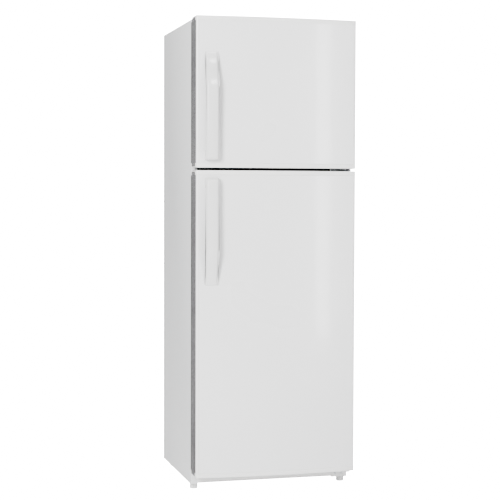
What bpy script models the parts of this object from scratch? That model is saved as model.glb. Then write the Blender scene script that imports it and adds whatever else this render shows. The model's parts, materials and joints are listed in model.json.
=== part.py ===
"""Top-freezer refrigerator with two bowed doors, built from its separate pieces.

The front faces -Y, +X is to the right of a person facing the doors, and the floor is at z = 0.
The origin is on the floor, under the middle of the whole object's box. All sizes are in metres.
"""
import math

import bmesh
import bpy
from mathutils import Matrix, Vector

# Driving dimensions
WIDTH = 0.595                # across the cabinet and the doors
CABINET_DEPTH = 0.513        # the cabinet alone, front frame to rear panel
GASKET_GAP = 0.014           # between the cabinet's front and a shut door
DOOR_THICKNESS = 0.070       # at a door's two long edges
DOOR_BOW = 0.016             # how far the middle of a door stands proud of its edges
DOOR_CORNER = 0.007          # radius of a door's long front edges
HANDLE_REACH = 0.034         # from the door's surface to the handle's face
TOTAL_DEPTH = 0.6386         # rear panel to the handles' faces
CABINET_TOP = 1.699
CABINET_BOTTOM = 0.021
DOOR_BOTTOM = 0.059
FRIDGE_DOOR_HEIGHT = 1.098
FREEZER_DOOR_HEIGHT = 0.536
DOOR_GAP = 0.010             # between the two doors
CAP_HEIGHT = 0.016           # plastic end cap of a door

HANDLE_WIDTH = 0.048
HANDLE_LENGTH = 0.382
HANDLE_INSET = 0.031         # from the door's long edge
HANDLE_END = 0.026           # from the gap between the doors

SHEET = 0.0012               # steel skins
LINER = 0.0012               # thermoformed plastic skins
GAP = 0.0003                 # between pieces that touch
FLANGE = 0.020               # inward fold of the cabinet skin at its front
MULLION = 0.055              # wall between the two compartments
DECK_Z = 0.052               # underside of the cabinet's floor
BAY_DEPTH = 0.190            # compressor bay, open to the rear
BAY_TOP = 0.215
FREEZER_WALL = 0.050
FREEZER_REAR_WALL = 0.060
FRIDGE_WALL = 0.040
FRIDGE_REAR_WALL = 0.050
FRIDGE_FLOOR = 0.100
FRIDGE_STEP = 0.250          # top of the step over the compressor bay
STEP_WALL = 0.040
COLD_CHAMBER = 0.075         # behind the freezer's rear cover
BIN_DEPTH = 0.095            # door bins, from the door's inner face
DYKE_DEPTH = 0.070           # raised sides of a door's inner panel
DYKE_WIDTH = 0.020
GASKET_WIDTH = 0.016
GASKET_INSET = 0.012
PIN_INSET = 0.018            # hinge pins, from the right-hand side
PIN_SETBACK = 0.030          # hinge pins, from the door's front edge
PIN_RADIUS = 0.004
PLATE = 0.003                # hinge plates

FOOT_INSET = 0.017
FOOT_SETBACK = 0.030
FOOT_RADIUS = 0.0145
ROLLER_RADIUS = 0.017
ROLLER_SETBACK = 0.060       # from the rear

EASE = 0.0005                # free space round a fitted piece
PANEL = 0.0014               # rear panel and mullion rail
RAIL_REACH = 0.0197          # mullion rail, above and below the middle of the gap
KICK_LOW = 0.024
KICK_DEPTH = 0.012
FOOT_PLATE = 0.003           # upright hinge plates, standing this far off the cabinet's front
FOOT_STANDOFF = 0.0005
MIDDLE_FOOT_REACH = 0.050    # middle hinge's upright plate, left of the pins
MIDDLE_FOOT_HALF = 0.014
BOTTOM_FOOT_LOW = 0.022
BOTTOM_FOOT_REACH = 0.062    # bottom hinge's upright plate, from the right-hand side
BOTTOM_FOOT_INSET = 0.005
HINGE_DROP = 0.0055          # bottom hinge plate under the fridge door
COVER_HEIGHT = 0.012         # top hinge cover, above the cabinet
COVER_LEFT = 0.060           # top hinge cover, left of the pins
COVER_RIGHT = 0.015
COVER_DEPTH = 0.074
COVER_WALL = 0.0025

SKIN_REAR = 0.004            # a door's skin stops this far short of its rear face
DYKE_INSET = 0.012           # from the compartment's side wall
BIN_WALL = 0.0025
BIN_HEIGHT = 0.080
FREEZER_BINS = {"freezer_bin_lower": 1.205, "freezer_bin_upper": 1.430}
FRIDGE_BINS = {"fridge_bin_lower": 0.440, "fridge_bin_middle": 0.680, "fridge_bin_upper": 0.920}
RACK_LOW, RACK_HIGH = 0.120, 0.235

COVER_PANEL = 0.003          # freezer's rear cover
FAN_X, FAN_Z = 0.100, 1.560
FAN_SLOTS = 5
SLOT_PITCH = 0.014
SLOT_HALF = 0.045
SLOT_HEIGHT = 0.006
COIL_PASSES = 6
COIL_PITCH = 0.036
COIL_REACH = 0.190
COIL_RADIUS = 0.004
MOTOR_RADIUS, MOTOR_LENGTH = 0.028, 0.040
BLADE_HALF = 0.006
FREEZER_SHELF_Z = 1.400
SHELF_THICKNESS = 0.006
ICE_SETBACK = 0.130          # tray frame, from the cabinet's front
ICE_BIN_SETBACK = 0.180
ICE_WALL = 0.004
ICE_Z = 1.575                # axis that the trays twist about
ICE_FRAME_LOW = 1.540
ICE_BIN_TOP = 1.500
TRAY_HALF, TRAY_DEPTH = 0.047, 0.034
TRAY_RIM = 0.012             # above the trays' axis
TRAY_WALL = 0.002
TRAY_KNOB_HALF, TRAY_KNOB_HEIGHT = 0.018, 0.014
TRAY_KNOB_DEPTH = 0.018
SHAFT_RADIUS = 0.004

SHELVES = {"crisper_cover": 0.350, "glass_shelf_lower": 0.560, "glass_shelf_middle": 0.750,
           "glass_shelf_upper": 0.940}
SHELF_SETBACK = 0.095
CRISPER_SETBACK = 0.134
CRISPER_TOP = 0.345
CRISPER_SIDE = 0.008         # free space beside the drawer
DUCT_HALF, DUCT_DEPTH = 0.055, 0.020
DUCT_LOW, DUCT_HIGH = 0.400, 1.060
LAMP_LEFT, LAMP_RIGHT, LAMP_LOW = -0.120, 0.030, 1.098
LAMP_FRONT, LAMP_BACK = 0.120, 0.270         # from the cabinet's front
LAMP_WALL = 0.003
HOUSING_LEFT, HOUSING_RIGHT, HOUSING_LOW = 0.045, 0.235, 1.074
HOUSING_FRONT = 0.110
KNOB_X, KNOB_Z = 0.190, 1.100
KNOB_RADIUS = 0.018
SWITCH_X, SWITCH_Z = 0.113, 1.112
SWITCH_HALF, SWITCH_RADIUS = 0.013, 0.004

RAIL_LOW = 0.036             # compressor rail
RAIL_THICKNESS = 0.002
BASE_Z = RAIL_LOW + RAIL_THICKNESS + GAP     # what stands on the rail
POT_X, POT_SETBACK, POT_RADIUS = 0.130, 0.100, 0.068
POT_SEAM, POT_TOP = 0.115, 0.190
PAN_LEFT, PAN_RIGHT, PAN_TOP = -0.250, 0.030, 0.075
PAN_FRONT, PAN_REAR, PAN_WALL = 0.165, 0.030, 0.002      # the first two from the rear
INLET_X, INLET_Z = 0.255, 0.190
INLET_HALF = 0.020
INLET_LOW, INLET_HIGH = 0.165, 0.2145

# Places worked out from them
HALF = WIDTH / 2
BACK = TOTAL_DEPTH / 2
FRONT = BACK - CABINET_DEPTH
DOOR_REAR = FRONT - GASKET_GAP
DOOR_EDGE = DOOR_REAR - DOOR_THICKNESS
FRIDGE_TOP = DOOR_BOTTOM + FRIDGE_DOOR_HEIGHT
FREEZER_BOTTOM = FRIDGE_TOP + DOOR_GAP
FREEZER_TOP = FREEZER_BOTTOM + FREEZER_DOOR_HEIGHT
GAP_MIDDLE = (FRIDGE_TOP + FREEZER_BOTTOM) / 2
PIN_X = HALF - PIN_INSET
PIN_Y = DOOR_EDGE + PIN_SETBACK
FREEZER_HALF = HALF - FREEZER_WALL
FREEZER_FLOOR = GAP_MIDDLE + MULLION / 2
FREEZER_CEILING = CABINET_TOP - FREEZER_WALL
FREEZER_BACK = BACK - FREEZER_REAR_WALL
FRIDGE_HALF = HALF - FRIDGE_WALL
FRIDGE_CEILING = GAP_MIDDLE - MULLION / 2
FRIDGE_BACK = BACK - FRIDGE_REAR_WALL
STEP_FACE = BACK - BAY_DEPTH - STEP_WALL
COVER_FACE = FREEZER_BACK - COLD_CHAMBER - COVER_PANEL
COIL_Y = COVER_FACE + 0.040
MOTOR_Y = COVER_FACE + 0.048
BLADE_Y = COVER_FACE + 0.016
ICE_FRONT, ICE_REAR = FRONT + ICE_SETBACK, COVER_FACE - 0.002
ICE_LEFT, ICE_RIGHT = -FREEZER_HALF + 0.002, -0.004
SHELF_FRONT = FRONT + SHELF_SETBACK
SHELF_REAR = FRIDGE_BACK - DUCT_DEPTH - 0.0035

# Colour, roughness and metallic value of each finish
FINISHES = {
    "painted_steel": ((0.86, 0.87, 0.87), 0.35, 0.0),
    "door_enamel": ((0.89, 0.89, 0.88), 0.25, 0.0),
    "white_plastic": ((0.88, 0.88, 0.86), 0.4, 0.0),
    "liner_plastic": ((0.90, 0.91, 0.92), 0.35, 0.0),
    "clear_plastic": ((0.75, 0.85, 0.92), 0.12, 0.0),
    "glass": ((0.78, 0.90, 0.88), 0.05, 0.0),
    "foam": ((0.86, 0.78, 0.58), 0.9, 0.0),
    "zinc_steel": ((0.62, 0.63, 0.64), 0.35, 0.9),
    "bare_aluminium": ((0.75, 0.76, 0.78), 0.4, 1.0),
    "gasket_rubber": ((0.16, 0.16, 0.17), 0.6, 0.0),
    "black_plastic": ((0.03, 0.03, 0.03), 0.5, 0.0),
    "compressor_black": ((0.02, 0.02, 0.02), 0.45, 0.0),
}


def clear_scene():
    for old in list(bpy.data.objects):
        bpy.data.objects.remove(old, do_unlink=True)


def new_collection(name):
    made = bpy.data.collections.new(name)
    bpy.context.scene.collection.children.link(made)
    return made


clear_scene()
PARTS = new_collection("top_freezer_refrigerator")
CUTTERS = new_collection("cutters")


def finish_material(name):
    """The Principled material of one finish, made the first time it is asked for."""
    found = bpy.data.materials.get(name)
    if found:
        return found
    colour, roughness, metallic = FINISHES[name]
    made = bpy.data.materials.new(name)
    made.use_nodes = True
    shader = made.node_tree.nodes["Principled BSDF"]
    shader.inputs["Base Color"].default_value = (*colour, 1)
    shader.inputs["Roughness"].default_value = roughness
    shader.inputs["Metallic"].default_value = metallic
    made.diffuse_color = (*colour, 1)
    return made


def keep(obj, finish, axis=None):
    """Make an object a piece of the refrigerator, carried by the empty on its joint's axis."""
    for polygon in obj.data.polygons:
        polygon.material_index = 0
    obj.data.materials.clear()
    obj.data.materials.append(finish_material(finish))
    PARTS.objects.link(obj)
    if axis:
        obj.parent = axis
        obj.location -= axis.location
    return obj


def cutter(obj):
    """Keep an object only as the tool of a Boolean."""
    CUTTERS.objects.link(obj)
    obj.hide_render = True
    obj.display_type = "WIRE"
    return obj


def joint_axis(name, place):
    empty = bpy.data.objects.new(name, None)
    empty.location = place
    PARTS.objects.link(empty)
    return empty


def object_from(name, bm, place):
    mesh = bpy.data.meshes.new(name)
    bm.to_mesh(mesh)
    bm.free()
    obj = bpy.data.objects.new(name, mesh)
    obj.location = place
    return obj


def block(name, low, high):
    """A plain box between two corners, with its origin at its centre."""
    size = Vector(high) - Vector(low)
    bm = bmesh.new()
    bmesh.ops.create_cube(bm, size=1)
    bmesh.ops.scale(bm, vec=size, verts=bm.verts)
    return object_from(name, bm, (Vector(high) + Vector(low)) / 2)


TURNS = {
    "Z": Matrix.Identity(4),
    "X": Matrix(((0, 0, 1, 0), (1, 0, 0, 0), (0, 1, 0, 0), (0, 0, 0, 1))),
    "Y": Matrix(((1, 0, 0, 0), (0, 0, -1, 0), (0, 1, 0, 0), (0, 0, 0, 1))),
}


def mesh_of_curve(name, drawn):
    """The closed mesh of a curve object, with its caps welded on."""
    CUTTERS.objects.link(drawn)
    bpy.context.view_layer.update()
    graph = bpy.context.evaluated_depsgraph_get()
    mesh = bpy.data.meshes.new_from_object(drawn.evaluated_get(graph))
    mesh.name = name
    place = drawn.matrix_world.copy()
    curve = drawn.data
    bpy.data.objects.remove(drawn)
    bpy.data.curves.remove(curve)
    bm = bmesh.new()
    bm.from_mesh(mesh)
    bmesh.ops.remove_doubles(bm, verts=bm.verts, dist=0.00002)
    bmesh.ops.recalc_face_normals(bm, faces=bm.faces)
    bm.to_mesh(mesh)
    bm.free()
    obj = bpy.data.objects.new(name, mesh)
    obj.matrix_world = place
    return obj


def prism(name, outline, low, high, along):
    """A flat outline given a thickness from low to high along X, Y or Z.

    The outline's pairs are (y, z) along X, (x, z) along Y and (x, y) along Z.
    """
    curve = bpy.data.curves.new(name, "CURVE")
    curve.dimensions = "2D"
    curve.fill_mode = "BOTH"
    curve.extrude = (high - low) / 2
    spline = curve.splines.new("POLY")
    spline.points.add(len(outline) - 1)
    for point, (u, v) in zip(spline.points, outline):
        point.co = (u, v, 0, 1)
    spline.use_cyclic_u = True
    obj = mesh_of_curve(name, bpy.data.objects.new(name, curve))
    obj.data.transform(TURNS[along])
    obj.location["XYZ".index(along)] = (low + high) / 2
    return obj


def tube(name, route, radius):
    """A bent tube along a list of points."""
    curve = bpy.data.curves.new(name, "CURVE")
    curve.dimensions = "3D"
    curve.bevel_depth = radius
    curve.bevel_resolution = 1
    curve.use_fill_caps = True
    spline = curve.splines.new("POLY")
    spline.points.add(len(route) - 1)
    for point, place in zip(spline.points, route):
        point.co = (*place, 1)
    return mesh_of_curve(name, bpy.data.objects.new(name, curve))


def rod(name, centre, radius, length, along="Z", sides=16):
    """A round bar, centred on a point."""
    bm = bmesh.new()
    bmesh.ops.create_cone(bm, cap_ends=True, segments=sides, radius1=radius, radius2=radius,
                          depth=length, matrix=TURNS[along])
    return object_from(name, bm, centre)


def turned(name, profile, centre, along="Z", steps=20):
    """A turned shape: (radius, height) pairs that run down its outer side."""
    bm = bmesh.new()
    points = [bm.verts.new((radius, 0, height)) for radius, height in profile]
    for upper, lower in zip(points, points[1:]):
        bm.edges.new((upper, lower))
    obj = object_from(name, bm, centre)
    screw = obj.modifiers.new("turn", "SCREW")
    screw.steps = steps
    screw.render_steps = steps
    screw.use_merge_vertices = True
    screw.merge_threshold = 0.00001
    if along == "X":
        obj.rotation_euler.y = math.pi / 2
    return obj


def bevel(obj, width, segments=1):
    made = obj.modifiers.new("rounded_edges", "BEVEL")
    made.width = width
    made.segments = segments
    made.limit_method = "ANGLE"
    made.angle_limit = math.radians(50)
    return obj


def combine(obj, tool, operation):
    """Cut, or join on, another object with a Boolean."""
    made = obj.modifiers.new(operation.lower(), "BOOLEAN")
    made.operation = operation
    made.solver = "EXACT"
    made.object = cutter(tool)
    return obj


def hollow(obj, wall, open_sides, outward=False):
    """Turn a block into a shell of one thickness, open on the given sides."""
    bm = bmesh.new()
    bm.from_mesh(obj.data)
    bm.normal_update()
    gone = [face for face in bm.faces
            if any(face.normal.dot(Vector(side)) > 0.95 for side in open_sides)]
    bmesh.ops.delete(bm, geom=gone, context="FACES")
    bm.to_mesh(obj.data)
    bm.free()
    made = obj.modifiers.new("wall", "SOLIDIFY")
    made.thickness = wall
    made.offset = 1 if outward else -1
    made.use_even_offset = True
    return obj


FORWARD = (0, -1, 0)
REARWARD = (0, 1, 0)
UP = (0, 0, 1)
DOWN = (0, 0, -1)


# The cabinet

def cabinet_shell():
    """The outer skin: one sheet over both sides and the top, folded in at the front."""
    shell = block("cabinet_shell", (-HALF, FRONT, CABINET_BOTTOM), (HALF, BACK, CABINET_TOP))
    hollow(shell, SHEET, (FORWARD, REARWARD, DOWN))
    shell.modifiers.clear()
    bm = bmesh.new()
    bm.from_mesh(shell.data)
    middle = shell.location
    front_edges = [edge for edge in bm.edges
                   if all(vert.co.y < 0 for vert in edge.verts) and edge.is_boundary]
    fold = bmesh.ops.extrude_edge_only(bm, edges=front_edges)
    for vert in [item for item in fold["geom"] if isinstance(item, bmesh.types.BMVert)]:
        vert.co.x = math.copysign(HALF - FLANGE, vert.co.x)
        if vert.co.z > 0:
            vert.co.z = CABINET_TOP - FLANGE - middle.z
    bmesh.ops.recalc_face_normals(bm, faces=bm.faces)
    top = max(bm.faces, key=lambda face: face.calc_center_median().z - abs(face.normal.y))
    if top.normal.z < 0:
        bmesh.ops.reverse_faces(bm, faces=bm.faces)
    bm.to_mesh(shell.data)
    bm.free()
    wall = shell.modifiers.new("wall", "SOLIDIFY")
    wall.thickness = SHEET
    wall.offset = -1
    wall.use_even_offset = True
    keep(shell, "painted_steel")


def back_panel():
    panel = block("back_panel", (-HALF + SHEET + GAP, BACK - 0.0024, BAY_TOP + 0.0018),
                  (HALF - SHEET - GAP, BACK - 0.0024 + PANEL, CABINET_TOP - SHEET - GAP))
    keep(panel, "painted_steel")


def base_deck():
    """The cabinet's steel floor, with the step that makes room for the compressor."""
    low, high = DECK_Z, BAY_TOP
    start, riser, end = FRONT + 0.0125, BACK - BAY_DEPTH, BACK - 0.0028
    outline = [(start, low), (riser, low), (riser, high), (end, high), (end, high + SHEET),
               (riser - SHEET, high + SHEET), (riser - SHEET, low + SHEET), (start, low + SHEET)]
    keep(prism("base_deck", outline, -HALF + SHEET + GAP, HALF - SHEET - GAP, "X"), "zinc_steel")


def fridge_room(grow=0.0):
    """Side outline (y, z) of the fridge compartment, grown outwards by a wall."""
    floor, step = FRIDGE_FLOOR - grow, FRIDGE_STEP - grow
    face, back = STEP_FACE + grow, FRIDGE_BACK + grow
    top = FRIDGE_CEILING + grow
    return [(FRONT, floor), (face, floor), (face, step), (back, step), (back, top), (FRONT, top)]


def cabinet_foam():
    """Foamed insulation between the skins, with a hollow for each compartment."""
    front, rear = FRONT + 0.0018, BACK - 0.0028
    low, high = DECK_Z + SHEET + GAP, BAY_TOP + SHEET + GAP
    step = BACK - BAY_DEPTH - SHEET - GAP
    top = CABINET_TOP - SHEET - GAP
    outline = [(front, low), (step, low), (step, high), (rear, high), (rear, top), (front, top)]
    side = HALF - SHEET - GAP
    foam = prism("cabinet_foam", outline, -side, side, "X")
    grow = LINER + GAP
    room = [(y - 0.05 if y == FRONT else y, z) for y, z in fridge_room(grow)]
    combine(foam, prism("fridge_room", room, -FRIDGE_HALF - grow, FRIDGE_HALF + grow, "X"),
            "DIFFERENCE")
    freezer = block("freezer_room",
                    (-FREEZER_HALF - grow, FRONT - 0.05, FREEZER_FLOOR - grow),
                    (FREEZER_HALF + grow, FREEZER_BACK + grow, FREEZER_CEILING + grow))
    combine(foam, freezer, "DIFFERENCE")
    keep(foam, "foam")


def flange_liner(liner, side, low, high):
    """Fold a liner's front edge outwards, to lie flat on the cabinet's front."""
    bm = bmesh.new()
    bm.from_mesh(liner.data)
    rim = [edge for edge in bm.edges if edge.is_boundary]
    heights = [vert.co.z for edge in rim for vert in edge.verts]
    middle = (min(heights) + max(heights)) / 2
    fold = bmesh.ops.extrude_edge_only(bm, edges=rim)
    for vert in [item for item in fold["geom"] if isinstance(item, bmesh.types.BMVert)]:
        vert.co.x = math.copysign(side, vert.co.x)
        vert.co.z = (high if vert.co.z > middle else low) - liner.location.z
    bm.to_mesh(liner.data)
    bm.free()
    wall = liner.modifiers["wall"]
    wall.solidify_mode = "NON_MANIFOLD"
    wall.nonmanifold_thickness_mode = "CONSTRAINTS"
    wall.nonmanifold_merge_threshold = 0.00001


def freezer_liner():
    liner = block("freezer_liner", (-FREEZER_HALF, FRONT + GAP, FREEZER_FLOOR),
                  (FREEZER_HALF, FREEZER_BACK, FREEZER_CEILING))
    hollow(liner, LINER, (FORWARD,), outward=True)
    flange_liner(liner, HALF - FLANGE - GAP, GAP_MIDDLE + RAIL_REACH + GAP,
                 CABINET_TOP - FLANGE - GAP)
    keep(liner, "liner_plastic")


def fridge_liner():
    room = [(y + GAP if y == FRONT else y, z) for y, z in fridge_room()]
    liner = prism("fridge_liner", room, -FRIDGE_HALF, FRIDGE_HALF, "X")
    hollow(liner, LINER, (FORWARD,), outward=True)
    flange_liner(liner, HALF - FLANGE - GAP, DECK_Z + EASE, GAP_MIDDLE - RAIL_REACH - GAP)
    keep(liner, "liner_plastic")


def mullion_rail():
    """Steel strip across the front of the wall between the compartments."""
    side = HALF - FLANGE - GAP
    rail = block("mullion_rail", (-side, FRONT, GAP_MIDDLE - RAIL_REACH),
                 (side, FRONT + PANEL, GAP_MIDDLE + RAIL_REACH))
    keep(rail, "painted_steel")


def kick_trim():
    side = HALF - FLANGE - GAP
    trim = block("kick_trim", (-side, FRONT, KICK_LOW),
                 (side, FRONT + KICK_DEPTH, DECK_Z - GAP))
    keep(bevel(trim, 0.002), "white_plastic")


def hinge_plate(name, low, high, rear, foot_reach=0.0, foot_depth=0.0):
    """A flat hinge arm with a round nose about the pin, and a wider foot behind it."""
    nose, flare = 0.011, 0.008
    end = rear + foot_depth
    outline = [(PIN_X + nose, end), (PIN_X + nose, PIN_Y)]
    for step in range(1, 6):
        turn = -math.pi * step / 6
        outline.append((PIN_X + nose * math.cos(turn), PIN_Y + nose * math.sin(turn)))
    outline += [(PIN_X - nose, PIN_Y), (PIN_X - nose, rear)]
    if foot_depth:
        outline += [(PIN_X - foot_reach, rear + flare), (PIN_X - foot_reach, end)]
    return prism(name, outline, low, high, "Z")


def hinge_pin(name, low, high, collar_low, collar_high):
    """A hinge pin with a collar that the door rests on, joined on to the plate."""
    pin = rod(name, (PIN_X, PIN_Y, (low + high) / 2), PIN_RADIUS, high - low)
    if collar_high > collar_low:
        middle = (collar_low + collar_high) / 2
        collar = rod(name + "_collar", (PIN_X, PIN_Y, middle), 0.008, collar_high - collar_low)
        combine(pin, collar, "UNION")
    return pin


def top_hinge():
    low = CABINET_TOP + GAP
    high = low + PLATE
    plate = hinge_plate("top_hinge", low, high, FRONT + 0.004, 0.055, 0.066)
    pin = hinge_pin("top_hinge_pin", FREEZER_TOP - CAP_HEIGHT + 0.001, low + 0.001, 0, 0)
    combine(plate, pin, "UNION")
    keep(plate, "zinc_steel")


def top_hinge_cover():
    """Low plastic cap over the part of the top hinge that is screwed to the cabinet."""
    front, high = FRONT + 0.0020, CABINET_TOP + COVER_HEIGHT
    left, right, rear = PIN_X - COVER_LEFT, PIN_X + COVER_RIGHT, front + COVER_DEPTH
    cover = block("top_hinge_cover", (left, front, CABINET_TOP + GAP), (right, rear, high))
    room = block("hinge_room", (left + COVER_WALL, FRONT - 0.0100, CABINET_TOP - 0.0010),
                 (right - COVER_WALL, rear - COVER_WALL, high - COVER_WALL))
    bevel(cover, 0.002)
    combine(cover, room, "DIFFERENCE")
    keep(cover, "white_plastic")


def middle_hinge():
    low, high = GAP_MIDDLE - PLATE / 2, GAP_MIDDLE + PLATE / 2
    plate = hinge_plate("middle_hinge", low, high, FRONT - 0.0010)
    foot = block("middle_hinge_foot",
                 (PIN_X - MIDDLE_FOOT_REACH, FRONT - FOOT_STANDOFF - FOOT_PLATE,
                  GAP_MIDDLE - MIDDLE_FOOT_HALF),
                 (PIN_X + 0.012, FRONT - FOOT_STANDOFF, GAP_MIDDLE + MIDDLE_FOOT_HALF))
    pin = hinge_pin("middle_hinge_pin", FRIDGE_TOP - CAP_HEIGHT + 0.002,
                    FREEZER_BOTTOM + CAP_HEIGHT - 0.002, FRIDGE_TOP + GAP, FREEZER_BOTTOM - GAP)
    combine(plate, foot, "UNION")
    combine(plate, pin, "UNION")
    keep(plate, "zinc_steel")


def bottom_hinge():
    high = DOOR_BOTTOM - HINGE_DROP
    low = high - PLATE
    plate = hinge_plate("bottom_hinge", low, high, FRONT - 0.0010)
    foot = block("bottom_hinge_foot",
                 (HALF - BOTTOM_FOOT_REACH, FRONT - FOOT_STANDOFF - FOOT_PLATE, BOTTOM_FOOT_LOW),
                 (HALF - BOTTOM_FOOT_INSET, FRONT - FOOT_STANDOFF, high + 0.001))
    pin = hinge_pin("bottom_hinge_pin", low + 0.001, DOOR_BOTTOM + CAP_HEIGHT - 0.003,
                    low + 0.002, DOOR_BOTTOM - GAP)
    combine(plate, foot, "UNION")
    combine(plate, pin, "UNION")
    keep(plate, "painted_steel")


# The doors

def door_bow(x):
    """How far a door's front stands proud of its edges at a place across it."""
    return DOOR_BOW * (1 - (x / HALF) ** 2)


def door_plan(inset, rear):
    """A door seen from above (x, y): straight back and sides, round corners, bowed front."""
    half, radius = HALF - inset, DOOR_CORNER - inset
    reach = half - radius
    front = DOOR_EDGE + inset - door_bow(reach)
    steps = 14
    outline = [(-half, rear)]
    for turn in (180, 210, 240):
        angle = math.radians(turn)
        outline.append((-reach + radius * math.cos(angle), front + radius * (1 + math.sin(angle))))
    for step in range(steps + 1):
        x = -reach + 2 * reach * step / steps
        outline.append((x, DOOR_EDGE + inset - door_bow(x)))
    for turn in (300, 330, 360):
        angle = math.radians(turn)
        outline.append((reach + radius * math.cos(angle), front + radius * (1 + math.sin(angle))))
    outline.append((half, rear))
    return outline


def door_cap(name, low, high, axis):
    cap = prism(name, door_plan(0, DOOR_REAR), low, high, "Z")
    middle = (low + high) / 2
    combine(cap, rod(name + "_bore", (PIN_X, PIN_Y, middle), PIN_RADIUS + 0.0005,
                     high - low + 0.01), "DIFFERENCE")
    return keep(cap, "white_plastic", axis)


def door_skin(name, low, high, axis):
    """Bowed sheet of the door's front, folded back along both sides."""
    skin = prism(name, door_plan(0, DOOR_REAR - SKIN_REAR), low, high, "Z")
    keep(hollow(skin, 0.001, (REARWARD, UP, DOWN)), "door_enamel", axis)


def door_foam(name, low, high, axis):
    keep(prism(name, door_plan(0.0013, DOOR_REAR - SKIN_REAR), low, high, "Z"), "foam", axis)


def door_liner(name, low, high, room_half, dyke_low, dyke_high, axis):
    """The door's inner panel, with a raised dyke down each side to hold the bins."""
    side = HALF - EASE
    liner = block(name, (-side, DOOR_REAR - 0.0036, low), (side, DOOR_REAR, high))
    outer = room_half - DYKE_INSET
    for hand in (-1, 1):
        edges = sorted((hand * outer, hand * (outer - DYKE_WIDTH)))
        dyke = block(name + "_dyke", (edges[0], DOOR_REAR - 0.0030, dyke_low),
                     (edges[1], DOOR_REAR + DYKE_DEPTH, dyke_high))
        combine(liner, dyke, "UNION")
    keep(liner, "liner_plastic", axis)


def door_gasket(name, low, high, axis):
    """Magnetic rubber seal round the door's inner edge."""
    side = HALF - GASKET_INSET
    ring = block(name, (-side, DOOR_REAR + GAP, low + GASKET_INSET),
                 (side, FRONT - 0.0006, high - GASKET_INSET))
    inner = side - GASKET_WIDTH
    room = block(name + "_room", (-inner, DOOR_REAR - 0.01, low + GASKET_INSET + GASKET_WIDTH),
                 (inner, FRONT + 0.01, high - GASKET_INSET - GASKET_WIDTH))
    keep(combine(ring, room, "DIFFERENCE"), "gasket_rubber", axis)


def door_bin(name, room_half, low, high, axis):
    """Open-topped bin held between the dykes of a door's inner panel."""
    side = room_half - DYKE_INSET - DYKE_WIDTH - EASE
    tray = block(name, (-side, DOOR_REAR + EASE, low), (side, DOOR_REAR + BIN_DEPTH, high))
    keep(hollow(tray, BIN_WALL, (UP,)), "clear_plastic", axis)


def handle(name, near_end, direction, axis):
    """Arched bar handle. It starts near the gap between the doors and runs away from it."""
    flat_end, reach, length = 0.24, HANDLE_REACH, HANDLE_LENGTH
    thick = 0.0125
    outline = [(0, GAP), (0, 0.025), (0.009, reach), (flat_end, reach), (0.285, 0.0315),
               (0.325, 0.0235), (0.360, 0.0120), (length - 0.002, 0.0055), (length, 0.0040),
               (length, GAP), (length - 0.040, GAP), (0.325, 0.0070), (0.295, 0.0165),
               (flat_end + 0.01, reach - thick), (0.046, reach - thick), (0.034, GAP)]
    side = [(-out, direction * along) for along, out in outline]
    grip = prism(name, side, -HANDLE_WIDTH / 2, HANDLE_WIDTH / 2, "X")
    x = -HALF + HANDLE_INSET + HANDLE_WIDTH / 2
    grip.location = (x, DOOR_EDGE - door_bow(x) - GAP, near_end)
    grip.rotation_euler.z = math.atan(2 * DOOR_BOW * x / HALF ** 2)
    keep(bevel(grip, 0.0025), "white_plastic", axis)


def freezer_door():
    axis = joint_axis("freezer_door_axis", (PIN_X, PIN_Y, GAP_MIDDLE))
    low, high = FREEZER_BOTTOM, FREEZER_TOP
    inner_low, inner_high = low + CAP_HEIGHT + GAP, high - CAP_HEIGHT - GAP
    top_cap = door_cap("freezer_door_top_cap", high - CAP_HEIGHT, high, axis)
    pocket = block("top_hinge_pocket", (PIN_X - 0.0140, PIN_Y - 0.0240, high - 0.0065),
                   (HALF + 0.01, DOOR_REAR + 0.01, high + 0.01))
    combine(top_cap, pocket, "DIFFERENCE")
    door_cap("freezer_door_bottom_cap", low, low + CAP_HEIGHT, axis)
    door_skin("freezer_door_skin", inner_low, inner_high, axis)
    door_foam("freezer_door_foam", inner_low, inner_high, axis)
    door_liner("freezer_door_liner", inner_low, inner_high, FREEZER_HALF, FREEZER_FLOOR + 0.016,
               FREEZER_CEILING - 0.016, axis)
    door_gasket("freezer_door_gasket", low, high, axis)
    for name, height in FREEZER_BINS.items():
        door_bin(name, FREEZER_HALF, height, height + BIN_HEIGHT, axis)
    handle("freezer_handle", low + HANDLE_END, 1, axis)


def fridge_door():
    axis = joint_axis("fridge_door_axis", (PIN_X, PIN_Y, DOOR_BOTTOM))
    low, high = DOOR_BOTTOM, FRIDGE_TOP
    inner_low, inner_high = low + CAP_HEIGHT + GAP, high - CAP_HEIGHT - GAP
    door_cap("fridge_door_top_cap", high - CAP_HEIGHT, high, axis)
    door_cap("fridge_door_bottom_cap", low, low + CAP_HEIGHT, axis)
    door_skin("fridge_door_skin", inner_low, inner_high, axis)
    door_foam("fridge_door_foam", inner_low, inner_high, axis)
    door_liner("fridge_door_liner", inner_low, inner_high, FRIDGE_HALF, FRIDGE_FLOOR + 0.015,
               FRIDGE_CEILING - 0.020, axis)
    door_gasket("fridge_door_gasket", low, high, axis)
    door_bin("bottle_rack", FRIDGE_HALF, RACK_LOW, RACK_HIGH, axis)
    for name, height in FRIDGE_BINS.items():
        door_bin(name, FRIDGE_HALF, height, height + BIN_HEIGHT, axis)
    handle("fridge_handle", high - HANDLE_END, -1, axis)


# Inside the freezer

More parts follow.
